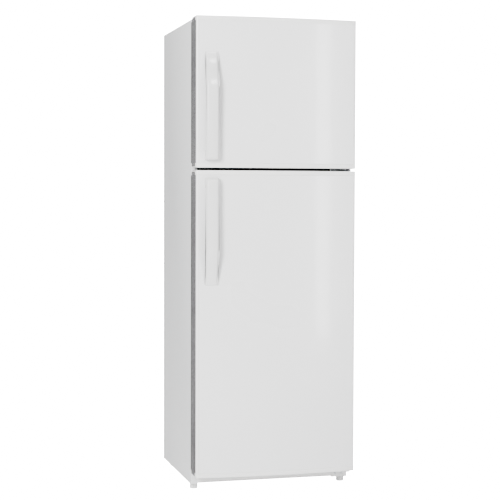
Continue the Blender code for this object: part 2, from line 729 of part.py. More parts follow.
def evaporator_cover():
    """Panel that hides the evaporator, with slots where the fan blows out."""
    cover = block("evaporator_cover",
                  (-FREEZER_HALF + EASE, COVER_FACE, FREEZER_FLOOR + EASE),
                  (FREEZER_HALF - EASE, COVER_FACE + COVER_PANEL, FREEZER_CEILING - EASE))
    for slot in range(FAN_SLOTS):
        low = FAN_Z + SLOT_PITCH * (slot - (FAN_SLOTS - 1) / 2) - SLOT_HEIGHT / 2
        opening = block(f"fan_slot_{slot}", (FAN_X - SLOT_HALF, COVER_FACE - 0.01, low),
                        (FAN_X + SLOT_HALF, COVER_FACE + 0.01, low + SLOT_HEIGHT))
        combine(cover, opening, "DIFFERENCE")
    keep(cover, "liner_plastic")


def evaporator_coil():
    """The cold tube, in level passes from side to side."""
    route = []
    for level in range(COIL_PASSES):
        height = FREEZER_FLOOR + 0.030 + COIL_PITCH * level
        hand = 1 if level % 2 == 0 else -1
        route += [(-hand * COIL_REACH, COIL_Y, height), (hand * COIL_REACH, COIL_Y, height)]
        if level < COIL_PASSES - 1:
            for turn in (-45, 0, 45):
                angle = math.radians(turn)
                route.append((hand * (COIL_REACH + COIL_PITCH / 2 * math.cos(angle)), COIL_Y,
                              height + COIL_PITCH / 2 * (1 + math.sin(angle))))
    keep(tube("evaporator_coil", route, COIL_RADIUS), "bare_aluminium")


def freezer_fan():
    motor = rod("fan_motor", (FAN_X, MOTOR_Y, FAN_Z), MOTOR_RADIUS, MOTOR_LENGTH, "Y", 20)
    keep(motor, "black_plastic")
    blades, points = 4, 32
    outline = []
    for step in range(points):
        angle = 2 * math.pi * step / points
        radius = 0.031 + 0.017 * math.cos(blades * angle)
        outline.append((radius * math.cos(angle), radius * math.sin(angle)))
    blade = prism("fan_blade", outline, -BLADE_HALF, BLADE_HALF, "Y")
    blade.location = (FAN_X, BLADE_Y, FAN_Z)
    keep(blade, "black_plastic")


def freezer_shelf():
    shelf = block("freezer_shelf", (-FREEZER_HALF + 0.001, FRONT + 0.100, FREEZER_SHELF_Z),
                  (FREEZER_HALF - 0.001, COVER_FACE - EASE, FREEZER_SHELF_Z + SHELF_THICKNESS))
    keep(bevel(shelf, 0.001), "clear_plastic")


def ice_tray_places():
    """The x of each tray's axis."""
    inner = (ICE_RIGHT - ICE_LEFT - 2 * ICE_WALL) / 2
    left = ICE_LEFT + ICE_WALL + inner / 2
    return left, left + inner


def ice_tray_frame():
    """Four walls, hung from the freezer's ceiling, that the trays turn in."""
    frame = block("ice_tray_frame", (ICE_LEFT, ICE_FRONT, ICE_FRAME_LOW),
                  (ICE_RIGHT, ICE_REAR, FREEZER_CEILING - EASE))
    room = block("ice_frame_room",
                 (ICE_LEFT + ICE_WALL, ICE_FRONT + ICE_WALL, ICE_FRAME_LOW - 0.04),
                 (ICE_RIGHT - ICE_WALL, ICE_REAR - ICE_WALL, FREEZER_CEILING + 0.02))
    combine(frame, room, "DIFFERENCE")
    for x in ice_tray_places():
        bore = rod("ice_shaft_bore", (x, (ICE_FRONT + ICE_REAR) / 2, ICE_Z),
                   SHAFT_RADIUS + EASE, ICE_REAR - ICE_FRONT + 0.02, "Y")
        combine(frame, bore, "DIFFERENCE")
    keep(frame, "white_plastic")


def ice_tray(name, x):
    """A twist tray: its shaft runs through the frame's front wall to a knob."""
    front, rear, rim = ICE_FRONT + 0.010, ICE_REAR - 0.010, ICE_Z + TRAY_RIM
    axis = joint_axis(name + "_axis", (x, ICE_FRONT, ICE_Z))
    tray = block(name, (x - TRAY_HALF, front, rim - TRAY_DEPTH), (x + TRAY_HALF, rear, rim))
    hollow(tray, TRAY_WALL, (UP,))
    shaft = rod(name + "_shaft", (x, ICE_FRONT - 0.002, ICE_Z), SHAFT_RADIUS, 0.026, "Y")
    stub = rod(name + "_stub", (x, ICE_REAR - 0.006, ICE_Z), SHAFT_RADIUS, 0.010, "Y")
    knob_rear = ICE_FRONT - 0.004
    knob = block(name + "_knob",
                 (x - TRAY_KNOB_HALF, knob_rear - TRAY_KNOB_DEPTH, ICE_Z - TRAY_KNOB_HEIGHT / 2),
                 (x + TRAY_KNOB_HALF, knob_rear, ICE_Z + TRAY_KNOB_HEIGHT / 2))
    for piece in (shaft, stub, knob):
        combine(tray, piece, "UNION")
    keep(tray, "clear_plastic", axis)


def ice_bin():
    low = FREEZER_SHELF_Z + SHELF_THICKNESS + 0.001
    bucket = block("ice_bin", (ICE_LEFT, FRONT + ICE_BIN_SETBACK, low),
                   (ICE_RIGHT, ICE_REAR, ICE_BIN_TOP))
    keep(hollow(bucket, TRAY_WALL, (UP,)), "clear_plastic")


# Inside the fridge

def fridge_shelf(name, height):
    shelf = block(name, (-FRIDGE_HALF + 0.0015, SHELF_FRONT, height),
                  (FRIDGE_HALF - 0.0015, SHELF_REAR, height + SHELF_THICKNESS))
    keep(bevel(shelf, 0.001), "glass")


def crisper_drawer():
    """Open-topped drawer that steps up over the compressor bay."""
    floor, step, top = FRIDGE_FLOOR + EASE, FRIDGE_STEP + EASE, CRISPER_TOP
    front, face, rear = FRONT + CRISPER_SETBACK, STEP_FACE - 0.004, SHELF_REAR
    outline = [(front, floor), (face, floor), (face, step), (rear, step), (rear, top),
               (front, top)]
    side = FRIDGE_HALF - CRISPER_SIDE
    drawer = prism("crisper_drawer", outline, -side, side, "X")
    keep(hollow(drawer, BIN_WALL, (UP,)), "clear_plastic")


def air_duct_cover():
    rear = FRIDGE_BACK - EASE
    duct = block("air_duct_cover", (-DUCT_HALF, rear - DUCT_DEPTH, DUCT_LOW),
                 (DUCT_HALF, rear, DUCT_HIGH))
    keep(bevel(duct, 0.004), "liner_plastic")


def lamp_cover():
    front, rear = FRONT + LAMP_FRONT, FRONT + LAMP_BACK
    cover = block("lamp_cover", (LAMP_LEFT, front, LAMP_LOW),
                  (LAMP_RIGHT, rear, FRIDGE_CEILING - EASE))
    room = block("lamp_room", (LAMP_LEFT + LAMP_WALL, front + LAMP_WALL, LAMP_LOW + LAMP_WALL),
                 (LAMP_RIGHT - LAMP_WALL, rear - LAMP_WALL, FRIDGE_CEILING + 0.01))
    bevel(cover, 0.003)
    keep(combine(cover, room, "DIFFERENCE"), "clear_plastic")


def thermostat():
    housing = block("thermostat_housing", (HOUSING_LEFT, FRONT + HOUSING_FRONT, HOUSING_LOW),
                    (HOUSING_RIGHT, FRONT + LAMP_BACK, FRIDGE_CEILING - EASE))
    keep(bevel(housing, 0.003), "white_plastic")
    middle = FRONT + HOUSING_FRONT - 0.0075
    knob = rod("thermostat_knob", (KNOB_X, middle, KNOB_Z), KNOB_RADIUS, 0.014, "Y", 24)
    grip = block("thermostat_knob_grip",
                 (KNOB_X - 0.003, middle - 0.0135, KNOB_Z - KNOB_RADIUS + 0.002),
                 (KNOB_X + 0.003, middle - 0.0055, KNOB_Z + KNOB_RADIUS - 0.002))
    keep(combine(knob, grip, "UNION"), "white_plastic")


def door_switch():
    """Lamp switch: the shut fridge door holds its plunger in."""
    body = block("door_switch_body", (SWITCH_X - SWITCH_HALF, FRONT + 0.012, LAMP_LOW),
                 (SWITCH_X + SWITCH_HALF, FRONT + 0.050, FRIDGE_CEILING - EASE))
    bore = rod("switch_bore", (SWITCH_X, FRONT + 0.026, SWITCH_Z), SWITCH_RADIUS + EASE,
               0.040, "Y")
    keep(combine(body, bore, "DIFFERENCE"), "white_plastic")
    tip, tail = DOOR_REAR + EASE, FRONT + 0.040
    plunger = rod("door_switch_plunger", (SWITCH_X, (tip + tail) / 2, SWITCH_Z), SWITCH_RADIUS,
                  tail - tip, "Y")
    keep(plunger, "white_plastic")


# Underneath and in the compressor bay

def levelling_foot(name, x):
    profile = [(0, DECK_Z - GAP), (0.005, DECK_Z - GAP), (0.005, 0.022), (0.0125, 0.021),
               (FOOT_RADIUS, 0.018), (FOOT_RADIUS, 0.002), (0.0125, 0), (0, 0)]
    keep(turned(name, profile, (x, FRONT + FOOT_SETBACK, 0)), "white_plastic")


def roller(name, x):
    """Rear transport roller, turned about X, with its axle ends."""
    half, tyre, axle = 0.008, ROLLER_RADIUS, 0.003
    profile = [(0, half + 0.003), (axle, half + 0.003), (axle, half), (tyre - 0.002, half),
               (tyre, half - 0.002), (tyre, 0.002 - half), (tyre - 0.002, -half),
               (axle, -half), (axle, -half - 0.003), (0, -half - 0.003)]
    centre = (x, BACK - ROLLER_SETBACK, ROLLER_RADIUS)
    keep(turned(name, profile, centre, "X", 24), "black_plastic")


def compressor_rail():
    rail = block("compressor_rail", (-HALF + SHEET + GAP, BACK - 0.175, RAIL_LOW),
                 (HALF - SHEET - GAP, BACK - 0.010, RAIL_LOW + RAIL_THICKNESS))
    keep(rail, "zinc_steel")


def compressor():
    """Sealed pot with a rounded lid and a welded seam, on a narrower foot."""
    base, seam, top, radius = BASE_Z, POT_SEAM, POT_TOP, POT_RADIUS
    profile = [(0, top)]
    for step in range(1, 5):
        angle = math.radians(22.5 * step)
        profile.append((radius * math.sin(angle), seam + (top - seam) * math.cos(angle)))
    profile += [(radius + 0.003, seam - 0.001), (radius + 0.003, seam - 0.006),
                (radius, seam - 0.008), (radius, base + 0.022), (radius - 0.014, base + 0.006),
                (radius - 0.018, base), (0, base)]
    place = (POT_X, BACK - POT_SETBACK, 0)
    keep(turned("compressor", profile, place, steps=24), "compressor_black")


def drain_pan():
    pan = block("drain_pan", (PAN_LEFT, BACK - PAN_FRONT, BASE_Z),
                (PAN_RIGHT, BACK - PAN_REAR, PAN_TOP))
    keep(hollow(pan, PAN_WALL, (UP,)), "black_plastic")


def cord_inlet():
    """Terminal box of the mains inlet, with the hole that a cord would come out of."""
    inlet = block("cord_inlet", (INLET_X - INLET_HALF, BACK - 0.045, INLET_LOW),
                  (INLET_X + INLET_HALF, BACK - 0.005, INLET_HIGH))
    bore = rod("cord_bore", (INLET_X, BACK - 0.012, INLET_Z), 0.005, 0.030, "Y")
    keep(combine(inlet, bore, "DIFFERENCE"), "black_plastic")


def build():
    cabinet_shell()
    back_panel()
    base_deck()
    cabinet_foam()
    freezer_liner()
    fridge_liner()
    mullion_rail()
    kick_trim()
    top_hinge()
    top_hinge_cover()
    middle_hinge()
    bottom_hinge()
    freezer_door()
    fridge_door()
    evaporator_cover()
    evaporator_coil()
    freezer_fan()
    freezer_shelf()
    ice_tray_frame()
    for name, x in zip(("ice_tray_left", "ice_tray_right"), ice_tray_places()):
        ice_tray(name, x)
    ice_bin()
    for name, height in SHELVES.items():
        fridge_shelf(name, height)
    crisper_drawer()
    air_duct_cover()
    lamp_cover()
    thermostat()
    door_switch()
    for side, hand in (("left", -1), ("right", 1)):
        levelling_foot(f"foot_{side}", hand * (HALF - FOOT_INSET))
        roller(f"roller_{side}", hand * (HALF - 0.024))
    compressor_rail()
    compressor()
    drain_pan()
    cord_inlet()
    bpy.context.view_layer.update()


build()
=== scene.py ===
# %% [markdown]
# # A top-freezer refrigerator, dressed for the camera
# The frame already holds every working piece at its true size and place: the cabinet, two
# doors, shelves, drawers, hinges, feet and the compressor. This lesson gives those pieces the
# surfaces of the real thing, and swaps the plain ones for finer shapes made with Blender's
# own modelling tools.

# %% Load the frame and keep its box
import json
import math

import bmesh
import bpy
from mathutils import Matrix, Vector

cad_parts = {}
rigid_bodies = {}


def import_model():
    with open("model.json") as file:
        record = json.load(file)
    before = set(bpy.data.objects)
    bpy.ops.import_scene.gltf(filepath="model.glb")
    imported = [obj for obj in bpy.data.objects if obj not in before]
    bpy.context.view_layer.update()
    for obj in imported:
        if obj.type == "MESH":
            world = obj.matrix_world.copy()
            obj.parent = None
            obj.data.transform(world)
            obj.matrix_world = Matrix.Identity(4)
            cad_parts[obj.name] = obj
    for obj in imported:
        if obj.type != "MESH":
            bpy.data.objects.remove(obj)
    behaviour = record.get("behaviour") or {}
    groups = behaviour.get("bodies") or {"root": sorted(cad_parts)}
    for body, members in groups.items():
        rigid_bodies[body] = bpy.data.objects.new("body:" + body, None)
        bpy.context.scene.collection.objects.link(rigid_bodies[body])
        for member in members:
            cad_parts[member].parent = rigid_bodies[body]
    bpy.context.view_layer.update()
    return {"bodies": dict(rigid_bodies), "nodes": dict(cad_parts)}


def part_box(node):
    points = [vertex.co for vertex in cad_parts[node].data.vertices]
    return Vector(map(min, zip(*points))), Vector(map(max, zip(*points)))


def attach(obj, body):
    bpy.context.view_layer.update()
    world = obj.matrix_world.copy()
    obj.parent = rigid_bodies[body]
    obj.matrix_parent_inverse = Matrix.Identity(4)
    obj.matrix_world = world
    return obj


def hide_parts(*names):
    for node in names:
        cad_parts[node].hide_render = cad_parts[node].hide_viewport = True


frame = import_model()

# %% [markdown]
# ## The camera
# It stands about five metres away, to the left of the doors and about a metre up, and has a
# long lens. A long lens keeps a tall cabinet's edges nearly parallel, as in a
# catalogue. The camera looks down by two degrees.

# %% Camera
CAMERA_PLACE = Vector((-1.3327, -4.9716, 1.0685))
CAMERA_TURN = math.radians(14.714)       # to the right of straight ahead
CAMERA_TILT = math.radians(-2.301)       # down
CAMERA_ROLL = math.radians(0.160)
CAMERA_LENS = 97.68                      # millimetres, on a 36 mm sensor

lens = bpy.data.cameras.new("catalogue_camera")
lens.lens = CAMERA_LENS
lens.sensor_width = 36
camera = bpy.data.objects.new("catalogue_camera", lens)
bpy.context.scene.collection.objects.link(camera)
camera.matrix_world = (Matrix.Translation(CAMERA_PLACE)
                       @ Matrix.Rotation(-CAMERA_TURN, 4, "Z")
                       @ Matrix.Rotation(math.pi / 2 + CAMERA_TILT, 4, "X")
                       @ Matrix.Rotation(CAMERA_ROLL, 4, "Z"))
bpy.context.scene.camera = camera
print("camera", [round(value, 3) for value in camera.location])

# %% [markdown]
# ## Floor and studio light
# A white appliance on white needs light with a direction, or its faces melt together. A soft
# lamp stands to the left of the camera. A tall strip lamp stands to the right, where the bowed
# doors mirror it as a bright upright band on their right half. A high one is mirrored only by
# the handles, where they curve back. A pale world fills the shadows. The floor and the backdrop
# look whiter than the light they give, as in a product studio where they have lamps of their
# own.

# %% Floor, world and lamps
BACKDROP_SEEN = 30.0         # strength of the floor and the world when looked at
FLOOR_GIVEN = 0.25           # strength of the light that the floor gives
WORLD_GIVEN = 0.32
FLOOR_SIZE = 30
LAMPS = {                    # name: place, target, size across and up, watts
    "key_lamp": ((-2.8, -3.4, 2.4), (0, 0, 0.9), (1.4, 2.0), 430),
    "strip_lamp": ((2.3, -4.9, 1.4), (0.15, -0.3, 0.9), (0.3, 3.2), 150),
    "high_lamp": ((0.4, -5.0, 4.2), (-0.2, -0.3, 1.4), (1.6, 0.7), 110),
    "top_lamp": ((0.2, 0.2, 3.8), (0, 0, 1.2), (2.0, 2.0), 50),
}


def seen_and_given(tree, seen, given, target):
    """Sets a strength that is one value when looked at and another as light on things."""
    rays = tree.nodes.new("ShaderNodeLightPath")
    choice = tree.nodes.new("ShaderNodeMapRange")
    choice.inputs["To Min"].default_value = given
    choice.inputs["To Max"].default_value = seen
    tree.links.new(rays.outputs["Is Camera Ray"], choice.inputs["Value"])
    tree.links.new(choice.outputs["Result"], target)


def studio_floor():
    bpy.ops.object.select_all(action="DESELECT")
    bpy.ops.mesh.primitive_plane_add(size=FLOOR_SIZE, location=(0, 4, -0.0005))
    floor = bpy.context.object
    floor.name = "studio_floor"
    paint = bpy.data.materials.new("floor_paint")
    paint.use_nodes = True
    shader = paint.node_tree.nodes["Principled BSDF"]
    shader.inputs["Base Color"].default_value = (0.93, 0.93, 0.93, 1)
    shader.inputs["Roughness"].default_value = 0.7
    shader.inputs["Emission Color"].default_value = (1, 1, 1, 1)
    seen_and_given(paint.node_tree, BACKDROP_SEEN, FLOOR_GIVEN, shader.inputs["Emission Strength"])
    floor.data.materials.append(paint)


def soft_lamp(name, place, target, size, watts):
    light = bpy.data.lights.new(name, "AREA")
    light.shape = "RECTANGLE"
    light.size, light.size_y = size
    light.energy = watts
    lamp = bpy.data.objects.new(name, light)
    bpy.context.scene.collection.objects.link(lamp)
    lamp.location = place
    aim = Vector(target) - Vector(place)
    lamp.rotation_euler = aim.to_track_quat("-Z", "Y").to_euler()


def studio_world():
    world = bpy.data.worlds.new("pale_studio")
    world.use_nodes = True
    sky = world.node_tree.nodes["Background"]
    sky.inputs["Color"].default_value = (1, 1, 1, 1)
    seen_and_given(world.node_tree, BACKDROP_SEEN, WORLD_GIVEN, sky.inputs["Strength"])
    bpy.context.scene.world = world


studio_floor()
studio_world()
for name, (place, target, size, watts) in LAMPS.items():
    soft_lamp(name, place, target, size, watts)
print("lamps", len(LAMPS))

# %% [markdown]
# ## Shared surface effects
# Most of the finishes here need the same few things: a fine grain that breaks up the gloss, a
# slow drift in tone so that no surface is one flat colour, and edges that are a little paler
# where a rag has rubbed them. Each effect is a node group, made once and then given its own
# numbers in each material. They read Object coordinates, so a pattern has the same real size
# on every piece and stays in place when a door swings.

# %% Node groups: grain, drift, brushed lines and rubbed edges
def new_group(name, inputs, outputs):
    """An empty shader group with named number inputs and outputs."""
    group = bpy.data.node_groups.new(name, "ShaderNodeTree")
    for title, value in inputs.items():
        socket = group.interface.new_socket(title, in_out="INPUT", socket_type="NodeSocketFloat")
        socket.default_value = value
    for title in outputs:
        group.interface.new_socket(title, in_out="OUTPUT", socket_type="NodeSocketFloat")
    return group, group.nodes.new("NodeGroupInput"), group.nodes.new("NodeGroupOutput")


def calculate(tree, operation, first, second):
    """A Math node. Each operand is a socket or a plain number."""
    math_node = tree.nodes.new("ShaderNodeMath")
    math_node.operation = operation
    for slot_number, operand in enumerate((first, second)):
        if isinstance(operand, (int, float)):
            math_node.inputs[slot_number].default_value = operand
        else:
            tree.links.new(operand, math_node.inputs[slot_number])
    return math_node.outputs[0]


def noise(tree, scale, detail, stretch=(1, 1, 1)):
    """Noise on Object coordinates. The scale is a socket or a number."""
    place = tree.nodes.new("ShaderNodeTexCoord")
    mapping = tree.nodes.new("ShaderNodeMapping")
    mapping.inputs["Scale"].default_value = stretch
    texture = tree.nodes.new("ShaderNodeTexNoise")
    texture.inputs["Detail"].default_value = detail
    tree.links.new(place.outputs["Object"], mapping.inputs["Vector"])
    tree.links.new(mapping.outputs["Vector"], texture.inputs["Vector"])
    if isinstance(scale, (int, float)):
        texture.inputs["Scale"].default_value = scale
    else:
        tree.links.new(scale, texture.inputs["Scale"])
    return texture.outputs["Fac"]


def grain_group():
    """Height of a fine even grain, between 0 and 1."""
    group, inside, outside = new_group("fine_grain", {"Scale": 900.0}, ["Height"])
    group.links.new(noise(group, inside.outputs["Scale"], 2), outside.inputs["Height"])
    return group


def drift_group():
    """A slow uneven mask, pushed apart so that it reaches both 0 and 1."""
    group, inside, outside = new_group("slow_drift", {"Scale": 4.0}, ["Mask"])
    spread = group.nodes.new("ShaderNodeMapRange")
    spread.inputs["From Min"].default_value = 0.32
    spread.inputs["From Max"].default_value = 0.68
    group.links.new(noise(group, inside.outputs["Scale"], 4), spread.inputs["Value"])
    group.links.new(spread.outputs["Result"], outside.inputs["Mask"])
    return group


def brushed_group():
    """Fine level lines, long in x and y and very short in z."""
    group, inside, outside = new_group("level_lines", {"Scale": 3.0}, ["Height"])
    lines = noise(group, inside.outputs["Scale"], 3, (1, 1, 160))
    group.links.new(lines, outside.inputs["Height"])
    return group


def edge_group():
    """A mask that is 1 along edges, where a surface is rubbed, found by rounding its normal."""
    group, inside, outside = new_group("rubbed_edges", {"Radius": 0.0015}, ["Mask"])
    shape = group.nodes.new("ShaderNodeNewGeometry")
    rounded = group.nodes.new("ShaderNodeBevel")
    rounded.samples = 4
    group.links.new(inside.outputs["Radius"], rounded.inputs["Radius"])
    likeness = group.nodes.new("ShaderNodeVectorMath")
    likeness.operation = "DOT_PRODUCT"
    group.links.new(rounded.outputs["Normal"], likeness.inputs[0])
    group.links.new(shape.outputs["Normal"], likeness.inputs[1])
    turned_away = calculate(group, "SUBTRACT", 1.0, likeness.outputs["Value"])
    worn = calculate(group, "MULTIPLY", turned_away, 4.0)
    spots = calculate(group, "MULTIPLY", worn, noise(group, 60, 3))
    clean = group.nodes.new("ShaderNodeClamp")
    group.links.new(spots, clean.inputs["Value"])
    group.links.new(clean.outputs["Result"], outside.inputs["Mask"])
    return group


EFFECTS = {group.name: group for group in
           (grain_group(), drift_group(), brushed_group(), edge_group())}
print("effects", sorted(EFFECTS))

# %% [markdown]
# ## One recipe for the solid finishes
# Enamel, moulded plastic, rubber and plated steel differ in their numbers more than in their
# make-up. The recipe mixes two near tones by the slow drift, lightens the rubbed edges,
# varies the roughness a little and adds the grain as a very shallow bump. What is the same
# all over, such as the metallic value and the coat, stays on the shader's own socket. A
# speckle of dark spots, from the same mask at the grain's scale, is there for cast textures.

# %% Solid finishes
RELIEF_DEPTH = 0.001         # metres, the same for every bump
COAT_ROUGHNESS = 0.08
SPECKLE_TONE = 0.14          # a speckle's tone, as a share of the finish's first tone


def effect(tree, name, **values):
    made = tree.nodes.new("ShaderNodeGroup")
    made.node_tree = EFFECTS[name]
    for title, value in values.items():
        made.inputs[title].default_value = value
    return made


def mix_colours(tree, mask, first, second):
    mix = tree.nodes.new("ShaderNodeMix")
    mix.data_type = "RGBA"
    tree.links.new(mask, mix.inputs["Factor"])
    for socket, colour in ((mix.inputs["A"], first), (mix.inputs["B"], second)):
        if isinstance(colour, tuple):
            socket.default_value = (*colour, 1)
        else:
            tree.links.new(colour, socket)
    return mix.outputs["Result"]


def new_finish(name):
    finish = bpy.data.materials.new(name)
    finish.use_nodes = True
    tree = finish.node_tree
    return finish, tree, tree.nodes["Principled BSDF"]


def add_relief(tree, shader, height, strength):
    relief = tree.nodes.new("ShaderNodeBump")
    relief.inputs["Strength"].default_value = strength
    relief.inputs["Distance"].default_value = RELIEF_DEPTH
    tree.links.new(height, relief.inputs["Height"])
    tree.links.new(relief.outputs["Normal"], shader.inputs["Normal"])


def solid_finish(name, tone, other_tone, roughness, metallic=0.0, coat=0.0, grain=900.0,
                 bump=0.02, drift=4.0, rough_drift=0.06, edge_tone=None, lines=0.0, speckle=0.0,
                 gloss=0.5):
    finish, tree, shader = new_finish(name)
    shader.inputs["Metallic"].default_value = metallic
    shader.inputs["Coat Weight"].default_value = coat
    shader.inputs["Coat Roughness"].default_value = COAT_ROUGHNESS
    shader.inputs["Specular IOR Level"].default_value = gloss
    slow = effect(tree, "slow_drift", Scale=drift).outputs["Mask"]
    colour = mix_colours(tree, slow, tone, other_tone)
    if edge_tone:
        rubbed = effect(tree, "rubbed_edges").outputs["Mask"]
        colour = mix_colours(tree, rubbed, colour, edge_tone)
    if speckle:
        spots = effect(tree, "slow_drift", Scale=grain).outputs["Mask"]
        spots = calculate(tree, "MULTIPLY", spots, speckle)
        colour = mix_colours(tree, spots, colour, tuple(SPECKLE_TONE * part for part in tone))
    tree.links.new(colour, shader.inputs["Base Color"])
    uneven = calculate(tree, "MULTIPLY", slow, rough_drift)
    tree.links.new(calculate(tree, "ADD", uneven, roughness - rough_drift / 2),
                   shader.inputs["Roughness"])
    height = effect(tree, "fine_grain", Scale=grain).outputs["Height"]
    if lines:
        level = effect(tree, "level_lines").outputs["Height"]
        height = calculate(tree, "ADD", height, calculate(tree, "MULTIPLY", level, lines))
    add_relief(tree, shader, height, bump)
    return finish


DOOR_ENAMEL = solid_finish("door_enamel", (0.80, 0.80, 0.80), (0.775, 0.777, 0.78), 0.30,
                           coat=0.25, grain=700, bump=0.05, lines=2.0, drift=2.0)
CABINET_ENAMEL = solid_finish("cabinet_enamel", (0.72, 0.725, 0.725), (0.70, 0.705, 0.71), 0.34,
                              grain=420, bump=0.10, drift=2.5)
HANDLE_PLASTIC = solid_finish("handle_plastic", (0.70, 0.70, 0.695), (0.67, 0.67, 0.67), 0.22,
                              coat=0.5, grain=500, bump=0.015)
TRIM_PLASTIC = solid_finish("trim_plastic", (0.80, 0.80, 0.79), (0.77, 0.77, 0.765), 0.38,
                            grain=650, bump=0.08)
SIDE_PLASTIC = solid_finish("side_strip_plastic", (0.19, 0.19, 0.195), (0.12, 0.12, 0.125), 0.7,
                            grain=330, bump=0.9, speckle=0.75, gloss=0.15)
LINER_PLASTIC = solid_finish("liner_plastic", (0.80, 0.82, 0.83), (0.77, 0.79, 0.81), 0.32,
                             grain=300, bump=0.06, drift=3.0)
# Near-black rubber for the seals and the compressor mounts. The wide seal lips and the groove strips
# use it too, as painted shade for the shadows round the doors.
RUBBER_AND_GAP_SHADE = solid_finish("gasket_rubber", (0.060, 0.060, 0.062), (0.040, 0.040, 0.042), 0.7,
                             grain=500, bump=0.2, edge_tone=(0.12, 0.12, 0.12), gloss=0.15)
# Near-black paint for the shadow deep in the gap between the doors: painted shade.
GAP_SHADE_PAINT = solid_finish("painted_gap_shade", (0.012, 0.012, 0.012), (0.020, 0.020, 0.020), 0.95,
                    grain=1500, bump=0.8, drift=40)
BLACK_PLASTIC = solid_finish("black_plastic", (0.022, 0.022, 0.023), (0.035, 0.034, 0.033), 0.5,
                             grain=400, bump=0.2, edge_tone=(0.09, 0.09, 0.09))
POT_ENAMEL = solid_finish("compressor_enamel", (0.012, 0.012, 0.013), (0.03, 0.028, 0.026), 0.36,
                          coat=0.2, grain=220, bump=0.25, drift=18,
                          edge_tone=(0.12, 0.11, 0.10))
ZINC = solid_finish("zinc_plate", (0.62, 0.63, 0.64), (0.50, 0.51, 0.53), 0.33, metallic=1.0,
                    grain=180, bump=0.12, drift=22, rough_drift=0.16,
                    edge_tone=(0.80, 0.80, 0.80))
ALUMINIUM = solid_finish("bare_aluminium", (0.80, 0.81, 0.82), (0.68, 0.69, 0.71), 0.36,
                         metallic=1.0, grain=350, bump=0.1, drift=14, rough_drift=0.1)
COPPER = solid_finish("copper_tube", (0.80, 0.42, 0.27), (0.52, 0.27, 0.18), 0.28, metallic=1.0,
                      grain=300, bump=0.06, drift=30, rough_drift=0.2)
FOAM = solid_finish("foamed_insulation", (0.80, 0.70, 0.48), (0.70, 0.60, 0.38), 0.9,
                    grain=120, bump=0.8, drift=12)
PRINT_GREY = solid_finish("printed_grey", (0.16, 0.20, 0.26), (0.19, 0.23, 0.29), 0.45,
                          grain=500, bump=0.02)
WARM_BULB = solid_finish("bulb_glass", (0.92, 0.90, 0.84), (0.88, 0.86, 0.80), 0.25,
                         grain=300, bump=0.02)
print("solid finishes", len(bpy.data.materials))

# %% [markdown]
# ## See-through finishes
# The shelves are green-edged glass, and the bins, drawer and trays are clear plastic. Real
# moulded plastic is never as clear as glass: it scatters a little, and its tone is cold blue.
# Light is let through with the shader's own Transmission Weight.

# %% Glass and clear plastic
def clear_finish(name, tone, other_tone, roughness, index, grain, bump, let_through):
    finish, tree, shader = new_finish(name)
    shader.inputs["Transmission Weight"].default_value = let_through
    shader.inputs["IOR"].default_value = index
    slow = effect(tree, "slow_drift", Scale=6.0).outputs["Mask"]
    tree.links.new(mix_colours(tree, slow, tone, other_tone), shader.inputs["Base Color"])
    uneven = calculate(tree, "MULTIPLY", slow, 0.05)
    tree.links.new(calculate(tree, "ADD", uneven, roughness), shader.inputs["Roughness"])
    height = effect(tree, "fine_grain", Scale=grain).outputs["Height"]
    add_relief(tree, shader, height, bump)
    return finish


SHELF_GLASS = clear_finish("shelf_glass", (0.86, 0.96, 0.93), (0.84, 0.95, 0.92), 0.01, 1.5,
                           60, 0.01, 0.95)
CLEAR_PLASTIC = clear_finish("clear_plastic", (0.84, 0.92, 0.97), (0.80, 0.89, 0.95), 0.12, 1.45,
                             220, 0.05, 0.75)
LAMP_PLASTIC = clear_finish("lamp_plastic", (0.95, 0.95, 0.93), (0.92, 0.92, 0.90), 0.25, 1.45,
                            140, 0.1, 0.6)
print("all finishes", len(bpy.data.materials))

# %% [markdown]
# ## Helpers for modelling by hand
# Every new piece is built with the same few moves: add a primitive, pick faces or edges by
# where they are, then extrude, inset or bevel them. An operator works on everything that is
# selected, so each helper starts by letting go of everything else.

# %% Selecting, settling and finishing a piece
def let_go():
    if bpy.context.object and bpy.context.object.mode != "OBJECT":
        bpy.ops.object.mode_set(mode="OBJECT")
    bpy.ops.object.select_all(action="DESELECT")


def hold(piece):
    let_go()
    piece.select_set(True)
    bpy.context.view_layer.objects.active = piece


def settle(piece):
    """Moves the piece's place, turn and size into its mesh."""
    hold(piece)
    bpy.ops.object.transform_apply(location=True, rotation=True, scale=True)


def edit(piece, kind="FACE"):
    hold(piece)
    bpy.ops.object.mode_set(mode="EDIT")
    bpy.ops.mesh.select_mode(type=kind)
    bpy.ops.mesh.select_all(action="DESELECT")


def edit_all(piece, kind="FACE"):
    edit(piece, kind)
    bpy.ops.mesh.select_all(action="SELECT")


def pick_faces(piece, test):
    """Selects the faces whose middle and normal pass the test. Returns how many."""
    edit(piece, "FACE")
    shape = bmesh.from_edit_mesh(piece.data)
    for face in shape.faces:
        face.select_set(bool(test(face.calc_center_median(), face.normal)))
    shape.select_flush_mode()
    bmesh.update_edit_mesh(piece.data)
    return sum(face.select for face in shape.faces)


def pick_edges(piece, test):
    """Selects the edges whose two ends pass the test together."""
    edit(piece, "EDGE")
    shape = bmesh.from_edit_mesh(piece.data)
    for edge in shape.edges:
        edge.select_set(bool(test(edge.verts[0].co, edge.verts[1].co)))
    shape.select_flush_mode()
    bmesh.update_edit_mesh(piece.data)
    return sum(edge.select for edge in shape.edges)


def modify(piece, kind, **settings):
    """Adds a modifier and applies it at once."""
    hold(piece)
    made = piece.modifiers.new(kind.lower(), kind)
    for title, value in settings.items():
        setattr(made, title, value)
    bpy.ops.object.modifier_apply(modifier=made.name)


def ease(piece, width, steps=2, angle=35):
    """Rounds the sharp edges and shades the rest smooth."""
    if width:
        modify(piece, "BEVEL", width=width, segments=steps, limit_method="ANGLE",
               angle_limit=math.radians(angle))
    hold(piece)
    bpy.ops.object.shade_smooth_by_angle(angle=math.radians(30))


